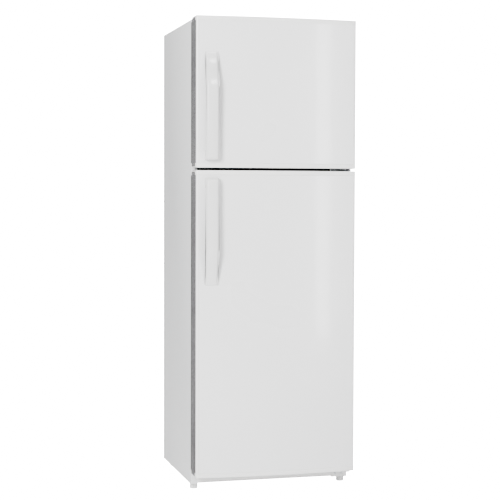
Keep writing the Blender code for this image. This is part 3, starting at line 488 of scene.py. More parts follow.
def face_outwards(piece):
    edit_all(piece)
    bpy.ops.mesh.normals_make_consistent(inside=False)
    bpy.ops.object.mode_set(mode="OBJECT")


def dress(piece, body, finish, slot_name, *nodes):
    """Gives a piece its finish, its body and the frame nodes that it stands for."""
    settle(piece)
    piece.data.materials.clear()
    piece.data.materials.append(finish)
    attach(piece, body)
    if nodes:
        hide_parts(*nodes)
    return piece


def add_block(name, low, high, width=0.0, steps=2):
    """A block between two corners, with its edges rounded by width."""
    let_go()
    low, high = Vector(low), Vector(high)
    bpy.ops.mesh.primitive_cube_add(size=1, location=(low + high) / 2)
    made = bpy.context.object
    made.name = name
    made.scale = high - low
    settle(made)
    if width:
        ease(made, width, steps)
    return made


def add_rod(name, centre, radius, length, along="Z", sides=32, width=0.0):
    """A round bar, with the rims of its ends rounded by width."""
    let_go()
    turn = {"X": (0, math.pi / 2, 0), "Y": (math.pi / 2, 0, 0), "Z": (0, 0, 0)}[along]
    bpy.ops.mesh.primitive_cylinder_add(vertices=sides, radius=radius, depth=length,
                                        location=centre, rotation=turn)
    made = bpy.context.object
    made.name = name
    settle(made)
    ease(made, width, 2, 60)
    return made


def join(name, *pieces):
    let_go()
    for piece in pieces:
        piece.select_set(True)
    bpy.context.view_layer.objects.active = pieces[0]
    bpy.ops.object.join()
    pieces[0].name = name
    return pieces[0]


def spread(piece, places):
    """A copy of the piece at each place, each with its own mesh, and the piece removed."""
    made = []
    for place in places:
        hold(piece)
        bpy.ops.object.duplicate(linked=False)
        twin = bpy.context.object
        twin.location = place
        settle(twin)
        made.append(twin)
    bpy.data.objects.remove(piece)
    return made


def draw(name, points, closed=True):
    """Draws a line by extruding one corner after another, and fills it if it is closed."""
    let_go()
    bpy.ops.mesh.primitive_plane_add(size=0.01)
    made = bpy.context.object
    made.name = name
    edit_all(made, "VERT")
    bpy.ops.mesh.merge(type="CENTER")
    bpy.ops.transform.translate(value=points[0])
    for start, end in zip(points, points[1:]):
        step = Vector(end) - Vector(start)
        bpy.ops.mesh.extrude_region_move(TRANSFORM_OT_translate={"value": step})
    bpy.ops.mesh.select_all(action="SELECT")
    if closed:
        bpy.ops.mesh.edge_face_add()
    bpy.ops.object.mode_set(mode="OBJECT")
    return made


def raise_up(piece, by):
    """Extrudes everything in the piece by one step, and faces the result outwards."""
    edit(piece, "FACE" if piece.data.polygons else "EDGE")
    bpy.ops.mesh.select_all(action="SELECT")
    bpy.ops.mesh.extrude_region_move(TRANSFORM_OT_translate={"value": by})
    face_outwards(piece)
    return piece


def tube(name, points, radius, sides=3):
    """A round pipe along a smooth line through the points."""
    let_go()
    line = bpy.data.curves.new(name, "CURVE")
    line.dimensions = "3D"
    line.bevel_depth = radius
    line.bevel_resolution = sides
    line.resolution_u = 6
    line.use_fill_caps = True
    run = line.splines.new("BEZIER")
    run.bezier_points.add(len(points) - 1)
    for knot, point in zip(run.bezier_points, points):
        knot.co = point
        knot.handle_left_type = knot.handle_right_type = "AUTO"
    made = bpy.data.objects.new(name, line)
    bpy.context.scene.collection.objects.link(made)
    hold(made)
    bpy.ops.object.convert(target="MESH")
    made = bpy.context.object
    edit_all(made)
    bpy.ops.mesh.remove_doubles(threshold=0.00001)
    face_outwards(made)
    ease(made, 0)
    return made


print("helpers ready")

# %% [markdown]
# ## Frame nodes that keep their shape
# Many nodes already have the right outline and only need the softness of real moulding. The
# node itself stays as it is. A copy is merged, its flat triangles are dissolved into whole
# faces, and its sharp edges are rounded, so each edge catches a thin line of light.

# %% A finer copy of a node
def box_of(node_name):
    """The low and high corners of a frame node's box."""
    return [Vector(corner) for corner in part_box(node_name)]


BODY_OF = {}
for body_name, body in frame["bodies"].items():
    for node_name, node in frame["nodes"].items():
        if node.parent == body:
            BODY_OF[node_name] = body_name


def copy_of(node_name, name):
    let_go()
    made = frame["nodes"][node_name].copy()
    made.data = made.data.copy()
    made.parent = None
    made.name = name
    bpy.context.scene.collection.objects.link(made)
    edit_all(made)
    bpy.ops.mesh.remove_doubles(threshold=0.00002)
    bpy.ops.mesh.dissolve_limited(angle_limit=math.radians(0.5))
    bpy.ops.object.mode_set(mode="OBJECT")
    return made


def refine(node_name, finish, width=0.001, steps=2, angle=35):
    made = copy_of(node_name, node_name + "_finished")
    slot_name = frame["nodes"][node_name].data.materials[0].name.split(".")[0]
    ease(made, width, steps, angle)
    return dress(made, BODY_OF[node_name], finish, slot_name, node_name)


# %% [markdown]
# ## Sizes read from the frame
# The doors' width, their rear and the foremost line of their fronts come from the frame's own
# boxes, so nothing here is measured twice. The small sizes of the sheet's edge are added.

# %% Driving sizes
SHELL_LOW, SHELL_HIGH = box_of("cabinet_shell")
HALF = SHELL_HIGH.x
FRONT = SHELL_LOW.y
DOOR_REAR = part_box("freezer_door_top_cap")[1][1]
DOOR_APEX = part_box("freezer_door_top_cap")[0][1]
BOW = 0.016                  # how far the middle of a door stands before its edges
DOOR_EDGE = DOOR_APEX + BOW
CORNER = 0.007               # radius of the sheet's upright corners
RETURN = 0.0008              # what the sheet runs on behind its corner
# GROOVE is the width of the groove before the side profile, filled with a dark strip of painted
# shade.
GROOVE = 0.0110              # the soft strip between the sheet and the side profile
PROUD = 0.0020               # how far the side profile stands out past the sheet
SEAM = 0.0012                # width of the pressed line beside each corner
SEAM_PLACE = 0.0015          # from the end of the corner to that line
SHEET = 0.0009
SKIN_CLEAR = 0.0002          # keeps the sheet's ends off the caps' edges
print("half width", HALF, "front", FRONT, "door apex", DOOR_APEX)

# %% [markdown]
# ## The door fronts
# Each door is a pressed steel sheet, bowed forward in plan. The sheet wraps round both
# corners and stops just behind them, where a groove and then a rough-cast plastic profile take
# over. A dark strip in the groove is painted shade, standing for the shadow there. A fine
# pressed line runs down the front beside each corner. A plain box would have none of these. So
# the plan of the sheet is drawn as a line, raised to the door's height, and given its thickness
# with Solidify.

# %% Door fronts
def bow(x):
    """How far forward the front stands at x."""
    return BOW * (1 - (x / HALF) ** 2)


def door_plan(inset=0.0, steps=28):
    """Left to right along the front, with round corners. Inset moves the line inwards."""
    edge = HALF - inset
    corner = CORNER - inset / 2
    reach = edge - corner
    plan = [(-edge, DOOR_EDGE + corner + RETURN), (-edge, DOOR_EDGE + corner)]
    slope = 2 * BOW * reach / HALF ** 2
    turn = math.pi / 2 - math.atan(slope)
    level = DOOR_EDGE + inset - bow(reach)
    for number in range(1, 6):
        angle = turn * number / 6
        plan.append((-reach - corner * math.cos(angle), level + corner - corner * math.sin(angle)))
    for x in (-reach, -reach + SEAM_PLACE, -reach + SEAM_PLACE + SEAM / 2,
              -reach + SEAM_PLACE + SEAM):
        in_seam = abs(x + reach - SEAM_PLACE - SEAM / 2) < SEAM / 4
        plan.append((x, DOOR_EDGE + inset - bow(x) + (SEAM if in_seam else 0)))
    left = len(plan)
    field = reach - SEAM_PLACE - SEAM
    for number in range(1, steps):
        x = -field + 2 * field * number / steps
        plan.append((x, DOOR_EDGE + inset - bow(x)))
    return plan + [(-x, y) for x, y in reversed(plan[:left])]


def door_front(body, skin):
    low, high = (corner[2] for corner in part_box(skin))
    points = [(x, y, low - SKIN_CLEAR) for x, y in door_plan(SKIN_CLEAR)]
    made = draw(body + "_front", points, closed=False)
    raise_up(made, (0, 0, high - low + 2 * SKIN_CLEAR))
    facing = pick_faces(made, lambda middle, normal: abs(middle.x) < 0.2 and normal.y > 0)
    if facing:
        bpy.ops.mesh.select_all(action="SELECT")
        bpy.ops.mesh.flip_normals()
    modify(made, "SOLIDIFY", thickness=SHEET, offset=-1)
    ease(made, 0)
    return dress(made, body, DOOR_ENAMEL, "door_enamel", skin)


for body in ("freezer_door", "fridge_door"):
    print(door_front(body, body + "_skin").name, "replaces", body + "_skin")

# %% [markdown]
# The side profiles are dark, rough-cast plastic, with a bead along each edge and a groove down
# the middle. They run nearly the door's whole height, and stop a little short at both ends, so
# that they clear the hinge plates as the door swings. One cross-section is drawn, raised, and
# used again on the other side with its x turned round.

# %% Side profiles
PROFILE_SHORT = 0.0050       # what a profile lacks at each end of the door
PROFILE_REAR = 0.0040        # from its rear edge to the door's rear
PROFILE_ROOT = 0.0030        # how deep it reaches into the door's side
BEAD = 0.0008                # height of the beads over the flat between them
CHANNEL = 0.0036             # the middle groove's floor, below the beads
CHANNEL_WIDTH = 0.0070


def side_word(side):
    return "right" if side > 0 else "left"


def side_profile(body, side):
    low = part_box(body + "_bottom_cap")[0][2] + PROFILE_SHORT
    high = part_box(body + "_top_cap")[1][2] - PROFILE_SHORT
    start = DOOR_EDGE + CORNER + RETURN + GROOVE
    end = DOOR_REAR - PROFILE_REAR
    outer, inner = HALF + PROUD, HALF - PROFILE_ROOT
    flat, floor = outer - BEAD, outer - CHANNEL
    middle = (start + end) / 2
    section = [(inner, start), (outer - 0.0006, start), (outer, start + 0.0010),
               (outer, start + 0.0035), (flat, start + 0.0045), (flat, middle),
               (floor, middle + BEAD), (floor, middle + CHANNEL_WIDTH - BEAD),
               (flat, middle + CHANNEL_WIDTH), (flat, end - 0.0040), (outer, end - 0.0030),
               (outer, end), (inner, end)]
    made = draw(f"{body}_profile_{side_word(side)}",
                [(side * x, y, low) for x, y in section])
    raise_up(made, (0, 0, high - low))
    ease(made, 0.0003, 1)
    return dress(made, body, SIDE_PLASTIC, "white_plastic")


def side_groove_shade(body, side):
    """Painted shade: a dark strip, a little below the surface, standing for the shadow in the groove
    between the sheet and the profile.
    """
    low, high = (corner[2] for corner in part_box(body + "_skin"))
    front = DOOR_EDGE + CORNER + RETURN - 0.0004
    ends = sorted((side * (HALF - PROFILE_ROOT), side * (HALF - 0.0006)))
    made = add_block(f"{body}_groove_{side_word(side)}",
                     (ends[0], front, low), (ends[1], front + GROOVE + 0.0008, high), 0.0005, 1)
    return dress(made, body, RUBBER_AND_GAP_SHADE, "gasket_rubber")


for body in ("freezer_door", "fridge_door"):
    for side in (-1, 1):
        side_profile(body, side)
        side_groove_shade(body, side)
print("side profiles", 4)

# %% [markdown]
# Plastic caps close the doors' upper and lower ends. They come from the frame, with their rims
# rounded. Each door's rear is the white liner and its pocketed walls.

# %% End caps, door liners and foam
for body in ("freezer_door", "fridge_door"):
    for end in ("top", "bottom"):
        refine(f"{body}_{end}_cap", TRIM_PLASTIC, 0.0011, 2, 50)
    refine(f"{body}_liner", LINER_PLASTIC, 0.004, 3, 50)
    refine(f"{body}_foam", FOAM, 0)
print("door shells refined")

# %% [markdown]
# Where the two doors face each other, the shadow deep in the gap is painted: a thin black
# sheet on each door's end, and a dark strip on the cabinet between the seals. That painted
# shade is why the gap reads as one black line between two white rims. Each sheet follows the
# door's plan, set back from its front edge.

# %% Painted shade in the gap
SHADE_SHEET_BACK = 0.0014           # behind the sheet's front
SHADE_SHEET_THICK = 0.0006
SHADE_SHEET_CLEAR = 0.0001          # off the cap that it is glued to


# Painted shade: a thin black sheet on a door's end, standing for the shadow deep in the gap.
def gap_shade_sheet(body, height, thickness):
    plan = [(x * (1 - SHADE_SHEET_BACK / HALF), y + SHADE_SHEET_BACK) for x, y in door_plan(0.0005)[2:-2]]
    rear = DOOR_REAR - PROFILE_REAR
    plan = [(plan[0][0], rear)] + plan + [(plan[-1][0], rear)]
    made = draw(body + "_gap_shade_sheet", [(x, y, height) for x, y in plan])
    raise_up(made, (0, 0, thickness))
    ease(made, 0)
    return dress(made, body, GAP_SHADE_PAINT, "gasket_rubber")


def cabinet_gap_shade():
    """Painted shade: a dark strip on the cabinet between the two doors' seals, left of the hinge,
    standing for the shadow in the gap.
    """
    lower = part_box("fridge_door_gasket")[1][2] + 0.002
    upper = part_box("freezer_door_gasket")[0][2] - 0.002
    made = add_block("cabinet_gap_shade", (-HALF + 0.021, FRONT - 0.0022, lower),
                     (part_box("middle_hinge")[0][0] - 0.004, FRONT - 0.0002, upper), 0.0007, 2)
    return dress(made, "cabinet", GAP_SHADE_PAINT, "gasket_rubber")


cabinet_gap_shade()
gap_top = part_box("freezer_door_bottom_cap")[0][2]
gap_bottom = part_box("fridge_door_top_cap")[1][2]
gap_shade_sheet("freezer_door", gap_top - SHADE_SHEET_CLEAR, -SHADE_SHEET_THICK)
gap_shade_sheet("fridge_door", gap_bottom + SHADE_SHEET_CLEAR, SHADE_SHEET_THICK)
print("gap", gap_top - gap_bottom)

# %% [markdown]
# ## The handles
# Each handle is one moulded bar. It is thick near the gap between the doors, where a hand
# closes on it, and at its far end it curves back into the door. Seen from the side it is a
# bow, so its side outline is drawn, widened, and its two long front edges are given a broad
# bevel that catches the light. The whole is then turned to lie square on the bowed door.

# %% Handles
HANDLE_WIDTH = 0.048
HANDLE_X = -0.2425           # its middle, across the door
HANDLE_REACH = 0.034         # its front face, out from the door
HANDLE_INSIDE = 0.0215       # its inner face, out from the door
HANDLE_BEVEL = 0.0075        # on its two long front edges
BAR_END = 0.240              # where the straight bar ends and the fall begins
TIP = 0.382                  # the far end
TIP_THICK = 0.0035
TIP_FOOT = 0.342             # where the far end's flat foot begins
INSIDE_END = 0.250


def handle_outline():
    """(distance from the near end, distance out from the door) round the side of the bar."""
    line = [(0, 0), (0, 0.024), (0.0025, 0.0300), (0.009, HANDLE_REACH), (0.120, HANDLE_REACH)]
    steps = 14
    for number in range(steps + 1):
        part = number / steps
        fall = (1 + math.cos(math.pi * part)) / 2
        line.append((BAR_END + (TIP - BAR_END) * part,
                     TIP_THICK + (HANDLE_REACH - TIP_THICK) * fall))
    line += [(TIP, 0), (TIP_FOOT, 0)]
    for number in range(1, 9):
        part = number / 9
        rise = (1 - math.cos(math.pi * part)) / 2
        line.append((TIP_FOOT - (TIP_FOOT - INSIDE_END) * part, HANDLE_INSIDE * rise))
    return line + [(INSIDE_END, HANDLE_INSIDE), (0.120, HANDLE_INSIDE), (0.046, HANDLE_INSIDE),
                   (0.038, 0.0180), (0.0345, 0.0100), (0.034, 0)]


def handle(body, node):
    low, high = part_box(node)
    upwards = body == "freezer_door"
    near = low[2] if upwards else high[2]
    side = [(-HANDLE_WIDTH / 2, -out, (distance if upwards else -distance))
            for distance, out in handle_outline()]
    made = draw(node + "_bar", side)
    raise_up(made, (HANDLE_WIDTH, 0, 0))
    half = HANDLE_WIDTH / 2

    def long_front_edge(start, end):
        same_side = abs(start.x - end.x) < 0.0001 and abs(abs(start.x) - half) < 0.0001
        out = min(-start.y, -end.y)
        along = min(abs(start.z), abs(end.z))
        outside = out > HANDLE_INSIDE + 0.001 or along > BAR_END - 0.0005
        return same_side and outside and out > TIP_THICK - 0.0005
    pick_edges(made, long_front_edge)
    bpy.ops.mesh.bevel(offset=HANDLE_BEVEL, segments=1, affect="EDGES")
    ease(made, 0.0009, 2, 28)
    slope = math.atan(2 * BOW * HANDLE_X / HALF ** 2)
    made.rotation_euler = (0, 0, slope)
    made.location = (HANDLE_X, DOOR_EDGE - bow(HANDLE_X), near)
    return dress(made, body, HANDLE_PLASTIC, "handle_plastic", node)


for body, node in (("freezer_door", "freezer_handle"), ("fridge_door", "fridge_handle")):
    bar = handle(body, node)
    corners = [vertex.co for vertex in bar.data.vertices]

# %% [markdown]
# ## The door seals
# A magnetic seal is a soft bellows: two lips with a hollow between them, mitred at its four
# corners. It is part of the dark line all round each door; the rest of that line is painted
# shade, a wide dark lip outside the bellows that covers the cabinet's flange where it lies in
# shade. A ring is drawn as a flat frame by insetting a rectangle, raised to its depth, and its
# front and rear faces are then inset and pushed in to leave the grooves between the lips.

# %% Seals
SEAL_WIDTH = 0.016
LIP_ROUND = 0.0012


def seal(body):
    node = body + "_gasket"
    low, high = box_of(node)
    made = add_block(node + "_bellows", low, high)
    pick_faces(made, lambda middle, normal: abs(normal.y) > 0.9)
    bpy.ops.mesh.inset(thickness=SEAL_WIDTH, use_individual=True)
    bpy.ops.mesh.bridge_edge_loops()
    bpy.ops.object.mode_set(mode="OBJECT")
    centre = (high + low) / 2
    half_width = (high.x - low.x) / 2

    def in_frame(middle, normal):
        flat = abs(normal.y) > 0.9
        return flat and (abs(middle.x - centre.x) > half_width - SEAL_WIDTH or
                         abs(middle.z - centre.z) > (high.z - low.z) / 2 - SEAL_WIDTH)
    pick_faces(made, in_frame)
    bpy.ops.mesh.inset(thickness=0.0038, depth=0)
    bpy.ops.mesh.inset(thickness=0.0012, depth=-0.0028)
    bpy.ops.object.mode_set(mode="OBJECT")

    def outer_side(middle, normal):
        outwards = (middle - centre).dot(normal) > 0.1
        return abs(normal.y) < 0.1 and outwards
    pick_faces(made, outer_side)
    bpy.ops.mesh.inset(thickness=0.0032, depth=0)
    bpy.ops.mesh.inset(thickness=0.0008, depth=-0.0022)
    face_outwards(made)
    ease(made, 0.0005, 1)
    return dress(made, body, RUBBER_AND_GAP_SHADE, "gasket_rubber", node)


def outer_lip_and_shade(body):
    """A dark lip outside the bellows, partly the seal's real lip and partly painted shade: it is
    flared wider than a real lip, to cover the cabinet's flange where it lies in shade. It is slimmer
    on the hinge side, where it swings.
    """
    low, high = box_of(body + "_gasket")
    skin_low, skin_high = (corner[2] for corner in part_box(body + "_skin"))
    edge = HALF + PROUD / 2
    rear = high.y - 0.0003
    # Painted shade: these blocks reach past the real seal's lip, over the gap where the cabinet's
    # flange lies in shade.
    parts = [add_block("lip", (-edge, DOOR_REAR - 0.0030, skin_low),
                       (low.x - 0.0004, rear, skin_high), 0.0008, 2),
             add_block("lip", (high.x + 0.0004, rear - 0.0085, skin_low),
                       (high.x + 0.0045, rear - 0.0035, skin_high), LIP_ROUND, 2)]
    for start, end in ((skin_low - 0.004, low.z - 0.0004), (high.z + 0.0004, skin_high + 0.004)):
        parts.append(add_block("lip", (-HALF + 0.0017, rear - 0.0070, start),
                               (high.x, rear - 0.0005, end), LIP_ROUND, 2))
    return dress(join(body + "_seal_lip_and_shade", *parts), body, RUBBER_AND_GAP_SHADE, "gasket_rubber")


for body in ("freezer_door", "fridge_door"):
    ring = seal(body)
    outer_lip_and_shade(body)
    print(ring.name, "faces", len(ring.data.polygons), "frame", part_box(body + "_gasket"))

# %% [markdown]
# ## The cabinet
# One long steel sheet is folded over the top and down both sides, and its front edges are
# folded inwards as a flange. Folded sheet never has a knife edge, so the long outer corners
# get a wide bend and the flange a narrower one. The inner faces stay put. Last, the thin rims
# are cut across near the corners, because a long face that turns two corners is easily filled
# in wrongly when it is drawn.

# %% Cabinet sheet
TOP_BEND = 0.0034
FLANGE_BEND = 0.0011
RIM_CUT = 0.006              # from a corner to the cut across the thin rims
NEAR = 0.0001                # a place counts as on a face within this


def cabinet_sheet():
    made = copy_of("cabinet_shell", "cabinet_sheet")

    def top_fold(start, end):
        return all(abs(abs(place.x) - HALF) < NEAR and place.z > SHELL_HIGH.z - NEAR
                   for place in (start, end))

    def front_fold(start, end):
        on_front = all(abs(place.y - FRONT) < NEAR for place in (start, end))
        outer = all(abs(abs(place.x) - HALF) < NEAR or place.z > SHELL_HIGH.z - NEAR
                    for place in (start, end))
        return on_front and outer
    folds = pick_edges(made, top_fold)
    bpy.ops.mesh.bevel(offset=TOP_BEND, segments=4, affect="EDGES")
    fronts = pick_edges(made, front_fold)
    bpy.ops.mesh.bevel(offset=FLANGE_BEND, segments=2, affect="EDGES")
    for side in (-1, 1):
        for place, normal in (((side * (HALF - RIM_CUT), 0, 0), (1, 0, 0)),
                              ((0, 0, SHELL_HIGH.z - RIM_CUT), (0, 0, 1)),
                              ((0, 0, SHELL_LOW.z + RIM_CUT), (0, 0, 1))):
            bpy.ops.mesh.select_all(action="SELECT")
            bpy.ops.mesh.bisect(plane_co=place, plane_no=normal)
    ease(made, 0)
    print("folds", folds, "front folds", fronts)
    return dress(made, "cabinet", CABINET_ENAMEL, "enamelled_cabinet", "cabinet_shell")


cabinet_sheet()
refine("cabinet_foam", FOAM, 0)
refine("mullion_rail", TRIM_PLASTIC, 0.0012)
refine("kick_trim", TRIM_PLASTIC, 0.0025, 3)

# %% [markdown]
# ## Screws
# The hinges, the rear panel and the compressor's rail are held by the same kind of screw: a
# low domed head with a cross recess. Each is made at the origin with its head up, then turned
# and moved to where it holds something. The dome comes from insetting a short rod's end and
# lifting it, and the cross from two bars cut away.

# %% One screw
def screw(name, place, facing, radius, body, finish):
    """A screw at a place on a face, with its head looking along facing."""
    made = add_rod(name, (0, 0, radius * 0.12), radius, radius * 0.5, sides=20)
    pick_faces(made, lambda middle, normal: normal.z > 0.9)
    bpy.ops.mesh.inset(thickness=radius * 0.22, depth=radius * 0.14)
    bpy.ops.mesh.inset(thickness=radius * 0.28, depth=radius * 0.08)
    bpy.ops.object.mode_set(mode="OBJECT")
    for turn in (0, math.pi / 2):
        bar = add_block("recess", (-radius * 0.5, -radius * 0.08, radius * 0.33),
                        (radius * 0.5, radius * 0.08, radius))
        bar.rotation_euler = (0, 0, turn)
        settle(bar)
        modify(made, "BOOLEAN", operation="DIFFERENCE", object=bar, solver="EXACT")
        bpy.data.objects.remove(bar)
    ease(made, 0)
    made.rotation_euler = Vector(facing).to_track_quat("Z", "Y").to_euler()
    made.location = place
    return dress(made, body, finish, "zinc_steel")


# %% [markdown]
# ## The hinges
# Three plates carry the doors on the right. The upper one lies on the cabinet's top under a
# moulded cover, the middle one stands in the gap between the doors, and the lower one is a
# white bracket with two visible screws under the fridge door.

# %% Hinges
refine("top_hinge", ZINC, 0.0006)
refine("middle_hinge", ZINC, 0.0004)
refine("bottom_hinge", TRIM_PLASTIC, 0.0004)
refine("top_hinge_cover", TRIM_PLASTIC, 0.0030, 3)
COVER_LOW, COVER_HIGH = box_of("top_hinge_cover")
SCREW_RADIUS = 0.0042
SMALL_SCREW_RADIUS = 0.0038
BRACKET_FACE = FRONT - 0.0041
BRACKET_SCREW_HEIGHT = 0.036
for number, x in enumerate((HALF - 0.047, HALF - 0.020)):
    screw(f"bottom_hinge_screw_{number + 1}", (x, BRACKET_FACE, BRACKET_SCREW_HEIGHT), (0, -1, 0),
          SCREW_RADIUS, "cabinet", ZINC)
screw("hinge_cover_screw", (COVER_LOW.x * 0.55 + COVER_HIGH.x * 0.45, COVER_HIGH.y - 0.012,
                            COVER_HIGH.z - 0.0012), (0, 0, 1), SMALL_SCREW_RADIUS,
      "cabinet", ZINC)
print("top hinge cover", COVER_LOW, COVER_HIGH)

# %% [markdown]
# ## Feet and rollers
# Two white levelling feet carry the front, each a ribbed pad on a threaded stem. The rear
# runs on two black rollers. A coin-like ribbed edge helps fingers turn the pad, so small
# blocks are set round the rim, one turned copy after another.

# %% Feet and rollers
FOOT_RIBS = 18
FOOT_RIB_LOW, FOOT_RIB_HIGH = 0.0035, 0.0115
for side in ("left", "right"):
    foot = "foot_" + side
    low, high = box_of(foot)
    centre = (low + high) / 2
    radius = (high.x - low.x) / 2
    refine(foot, TRIM_PLASTIC, 0.0007)
    ribs = []
    for number in range(FOOT_RIBS):
        rib = add_block("rib", (radius - 0.0012, -0.0011, FOOT_RIB_LOW),
                        (radius + 0.0001, 0.0011, FOOT_RIB_HIGH), 0.0004, 1)
        rib.rotation_euler = (0, 0, math.tau * number / FOOT_RIBS)
        rib.location = (centre.x, centre.y, 0)
        settle(rib)
        ribs.append(rib)
    dress(join(foot + "_grip_ribs", *ribs), foot, TRIM_PLASTIC, "white_plastic")
    refine("roller_" + side, BLACK_PLASTIC, 0.0010)
print("feet and rollers refined")

# %% [markdown]
# ## The rear panel
# The rear is a thin steel sheet stiffened by shallow pressings, screwed on round its edge. The
# flat sheet is cut across with bisects into fields. Each field's rear face is then inset and
# its rim raised, and the middle is inset again and pushed back, like a real pressing.

# %% Rear panel
FIELD_ROWS = ((0.04, 0.27), (0.29, 0.52), (0.54, 0.77), (0.79, 0.965))    # shares of the height
FIELD_INSIDE, FIELD_OUTSIDE = 0.012, 0.255                                # from the middle


def rear_panel():
    low, high = box_of("back_panel")
    made = add_block("rear_panel", low, high)
    cuts = [(Vector((0, 0, low.z + (high.z - low.z) * part)), (0, 0, 1))
            for row in FIELD_ROWS for part in row]
    cuts += [(Vector((x, 0, 0)), (1, 0, 0))
             for x in (-FIELD_OUTSIDE, -FIELD_INSIDE, FIELD_INSIDE, FIELD_OUTSIDE)]
    for place, normal in cuts:
        edit_all(made)
        bpy.ops.mesh.bisect(plane_co=place, plane_no=normal)
    bpy.ops.object.mode_set(mode="OBJECT")

    def field(middle, normal):
        part = (middle.z - low.z) / (high.z - low.z)
        in_row = any(start < part < end for start, end in FIELD_ROWS)
        return normal.y > 0.9 and FIELD_INSIDE < abs(middle.x) < FIELD_OUTSIDE and in_row
    fields = pick_faces(made, field)
    bpy.ops.mesh.inset(thickness=0.006, depth=0.0024, use_individual=True)
    bpy.ops.mesh.inset(thickness=0.018, depth=0.0, use_individual=True)
    bpy.ops.mesh.inset(thickness=0.005, depth=-0.0022, use_individual=True)
    ease(made, 0.0006, 2, 12)
    print("pressed fields", fields)
    return dress(made, "cabinet", CABINET_ENAMEL, "enamelled_cabinet", "back_panel")


rear_panel()
REAR_FACE = box_of("back_panel")[1].y
rear_screws = [(side * 0.280, z) for side in (-1, 1) for z in (0.25, 0.60, 0.96, 1.32, 1.67)]
rear_screws += [(x, 1.683) for x in (-0.12, 0.12)]
for number, (x, z) in enumerate(rear_screws):
    screw(f"rear_screw_{number + 1}", (x, REAR_FACE, z), (0, 1, 0), SCREW_RADIUS, "cabinet",
          ZINC)
print("rear screws", len(rear_screws))

# %% [markdown]
# ## The compressor bay
# At the foot of the rear the machinery stands in the open: a black welded pot on rubber
# mounts, copper pipes in and out, a drier, and a black pan above it where melt water dries.
# The pot's own outline comes from the frame. Around it go the weld bead, the pipes, the
# terminal box and the mounts, because those are what makes it read as a compressor.

# %% Compressor and its pipes
refine("compressor", POT_ENAMEL, 0.0025, 3, 30)
refine("compressor_rail", ZINC, 0.0006)
refine("base_deck", ZINC, 0.0006)
refine("drain_pan", BLACK_PLASTIC, 0.0012)
refine("cord_inlet", BLACK_PLASTIC, 0.0010)
POT_LOW, POT_HIGH = box_of("compressor")
POT = (POT_LOW + POT_HIGH) / 2
POT_RADIUS = 0.068


def compressor_fittings():
    let_go()
    bpy.ops.mesh.primitive_torus_add(major_segments=64, minor_segments=10, minor_radius=0.0022,
                                     major_radius=POT_RADIUS + 0.0006,
                                     location=(POT.x, POT.y, POT_LOW.z + 0.078))
    bead = bpy.context.object
    bead.name = "compressor_weld_bead"
    ease(bead, 0)
    dress(bead, "cabinet", POT_ENAMEL, "compressor_enamel")
    box = add_block("compressor_terminal_box",
                    (POT.x + POT_RADIUS - 0.004, POT.y - 0.024, 0.078),
                    (POT.x + POT_RADIUS + 0.026, POT.y + 0.024, 0.134), 0.004, 3)
    pick_faces(box, lambda middle, normal: normal.x > 0.9)
    bpy.ops.mesh.inset(thickness=0.005, depth=0)
    bpy.ops.mesh.inset(thickness=0.001, depth=-0.0012)
    ease(box, 0)
    dress(box, "cabinet", BLACK_PLASTIC, "black_plastic")
    left, rear = POT.x - POT_RADIUS, POT.y + POT_RADIUS
    runs = {
        "discharge_pipe": [(left + 0.004, POT.y + 0.010, 0.150), (left - 0.020, POT.y + 0.014, 0.156),
                           (left - 0.045, POT.y + 0.020, 0.172), (-0.060, POT.y + 0.030, 0.184),
                           (-0.180, POT.y + 0.032, 0.186), (-0.262, POT.y + 0.022, 0.182),
                           (-0.272, POT.y - 0.020, 0.172), (-0.272, POT.y - 0.060, 0.165)],
        "suction_pipe": [(left + 0.004, POT.y - 0.016, 0.128), (left - 0.018, POT.y - 0.020, 0.132),
                         (left - 0.032, POT.y - 0.022, 0.150), (left - 0.034, POT.y - 0.030, 0.178),
                         (left - 0.034, POT.y - 0.055, 0.200)],
        "process_pipe": [(POT.x + 0.030, rear - 0.012, 0.130), (POT.x + 0.033, rear + 0.006, 0.136),
                         (POT.x + 0.034, rear + 0.010, 0.158), (POT.x + 0.034, rear + 0.010, 0.170)],
        "drier_pipe": [(-0.205, POT.y + 0.050, 0.110), (-0.205, POT.y + 0.050, 0.130),
                       (-0.215, POT.y + 0.046, 0.150), (-0.240, POT.y + 0.020, 0.160),
                       (-0.262, POT.y - 0.010, 0.158), (-0.270, POT.y - 0.050, 0.150)],
    }
    for name, run in runs.items():
        thin = 0.0022 if name == "drier_pipe" else 0.0032
        dress(tube(name, run, thin), "cabinet", COPPER, "zinc_steel")
    drier = add_rod("filter_drier", (-0.205, POT.y + 0.050, 0.098), 0.0095, 0.060, "Z", 24, 0.004)
    dress(drier, "cabinet", COPPER, "zinc_steel")
    return len(runs)


print("pipes", compressor_fittings())

# %% [markdown]
# The rail that carries the pot is a pressed strip. Four rubber mounts lift the pot off it, so
# that its hum stays out of the cabinet. Each is a short sleeve with a waist. One is made on the
# pot's axis, and a copy goes to each corner.

# %% Mounts and rail screws
WAIST_LOW, WAIST_HIGH = 0.0425, 0.0485
MOUNT_REACH = 0.060          # from the pot's axis to each mount, along x and along y


def rubber_mount():
    made = add_rod("compressor_mount", (POT.x, POT.y, 0.0455), 0.0085, 0.0146, sides=24)
    edit(made)
    for height in (WAIST_LOW, WAIST_HIGH):
        bpy.ops.mesh.select_all(action="SELECT")
        bpy.ops.mesh.bisect(plane_co=(0, 0, height), plane_no=(0, 0, 1))
    pick_faces(made, lambda middle, normal: abs(normal.z) < 0.1 and WAIST_LOW < middle.z < WAIST_HIGH)
    bpy.ops.mesh.extrude_region_shrink_fatten(TRANSFORM_OT_shrink_fatten={"value": -0.0016})
    ease(made, 0.0005, 2)
    return made


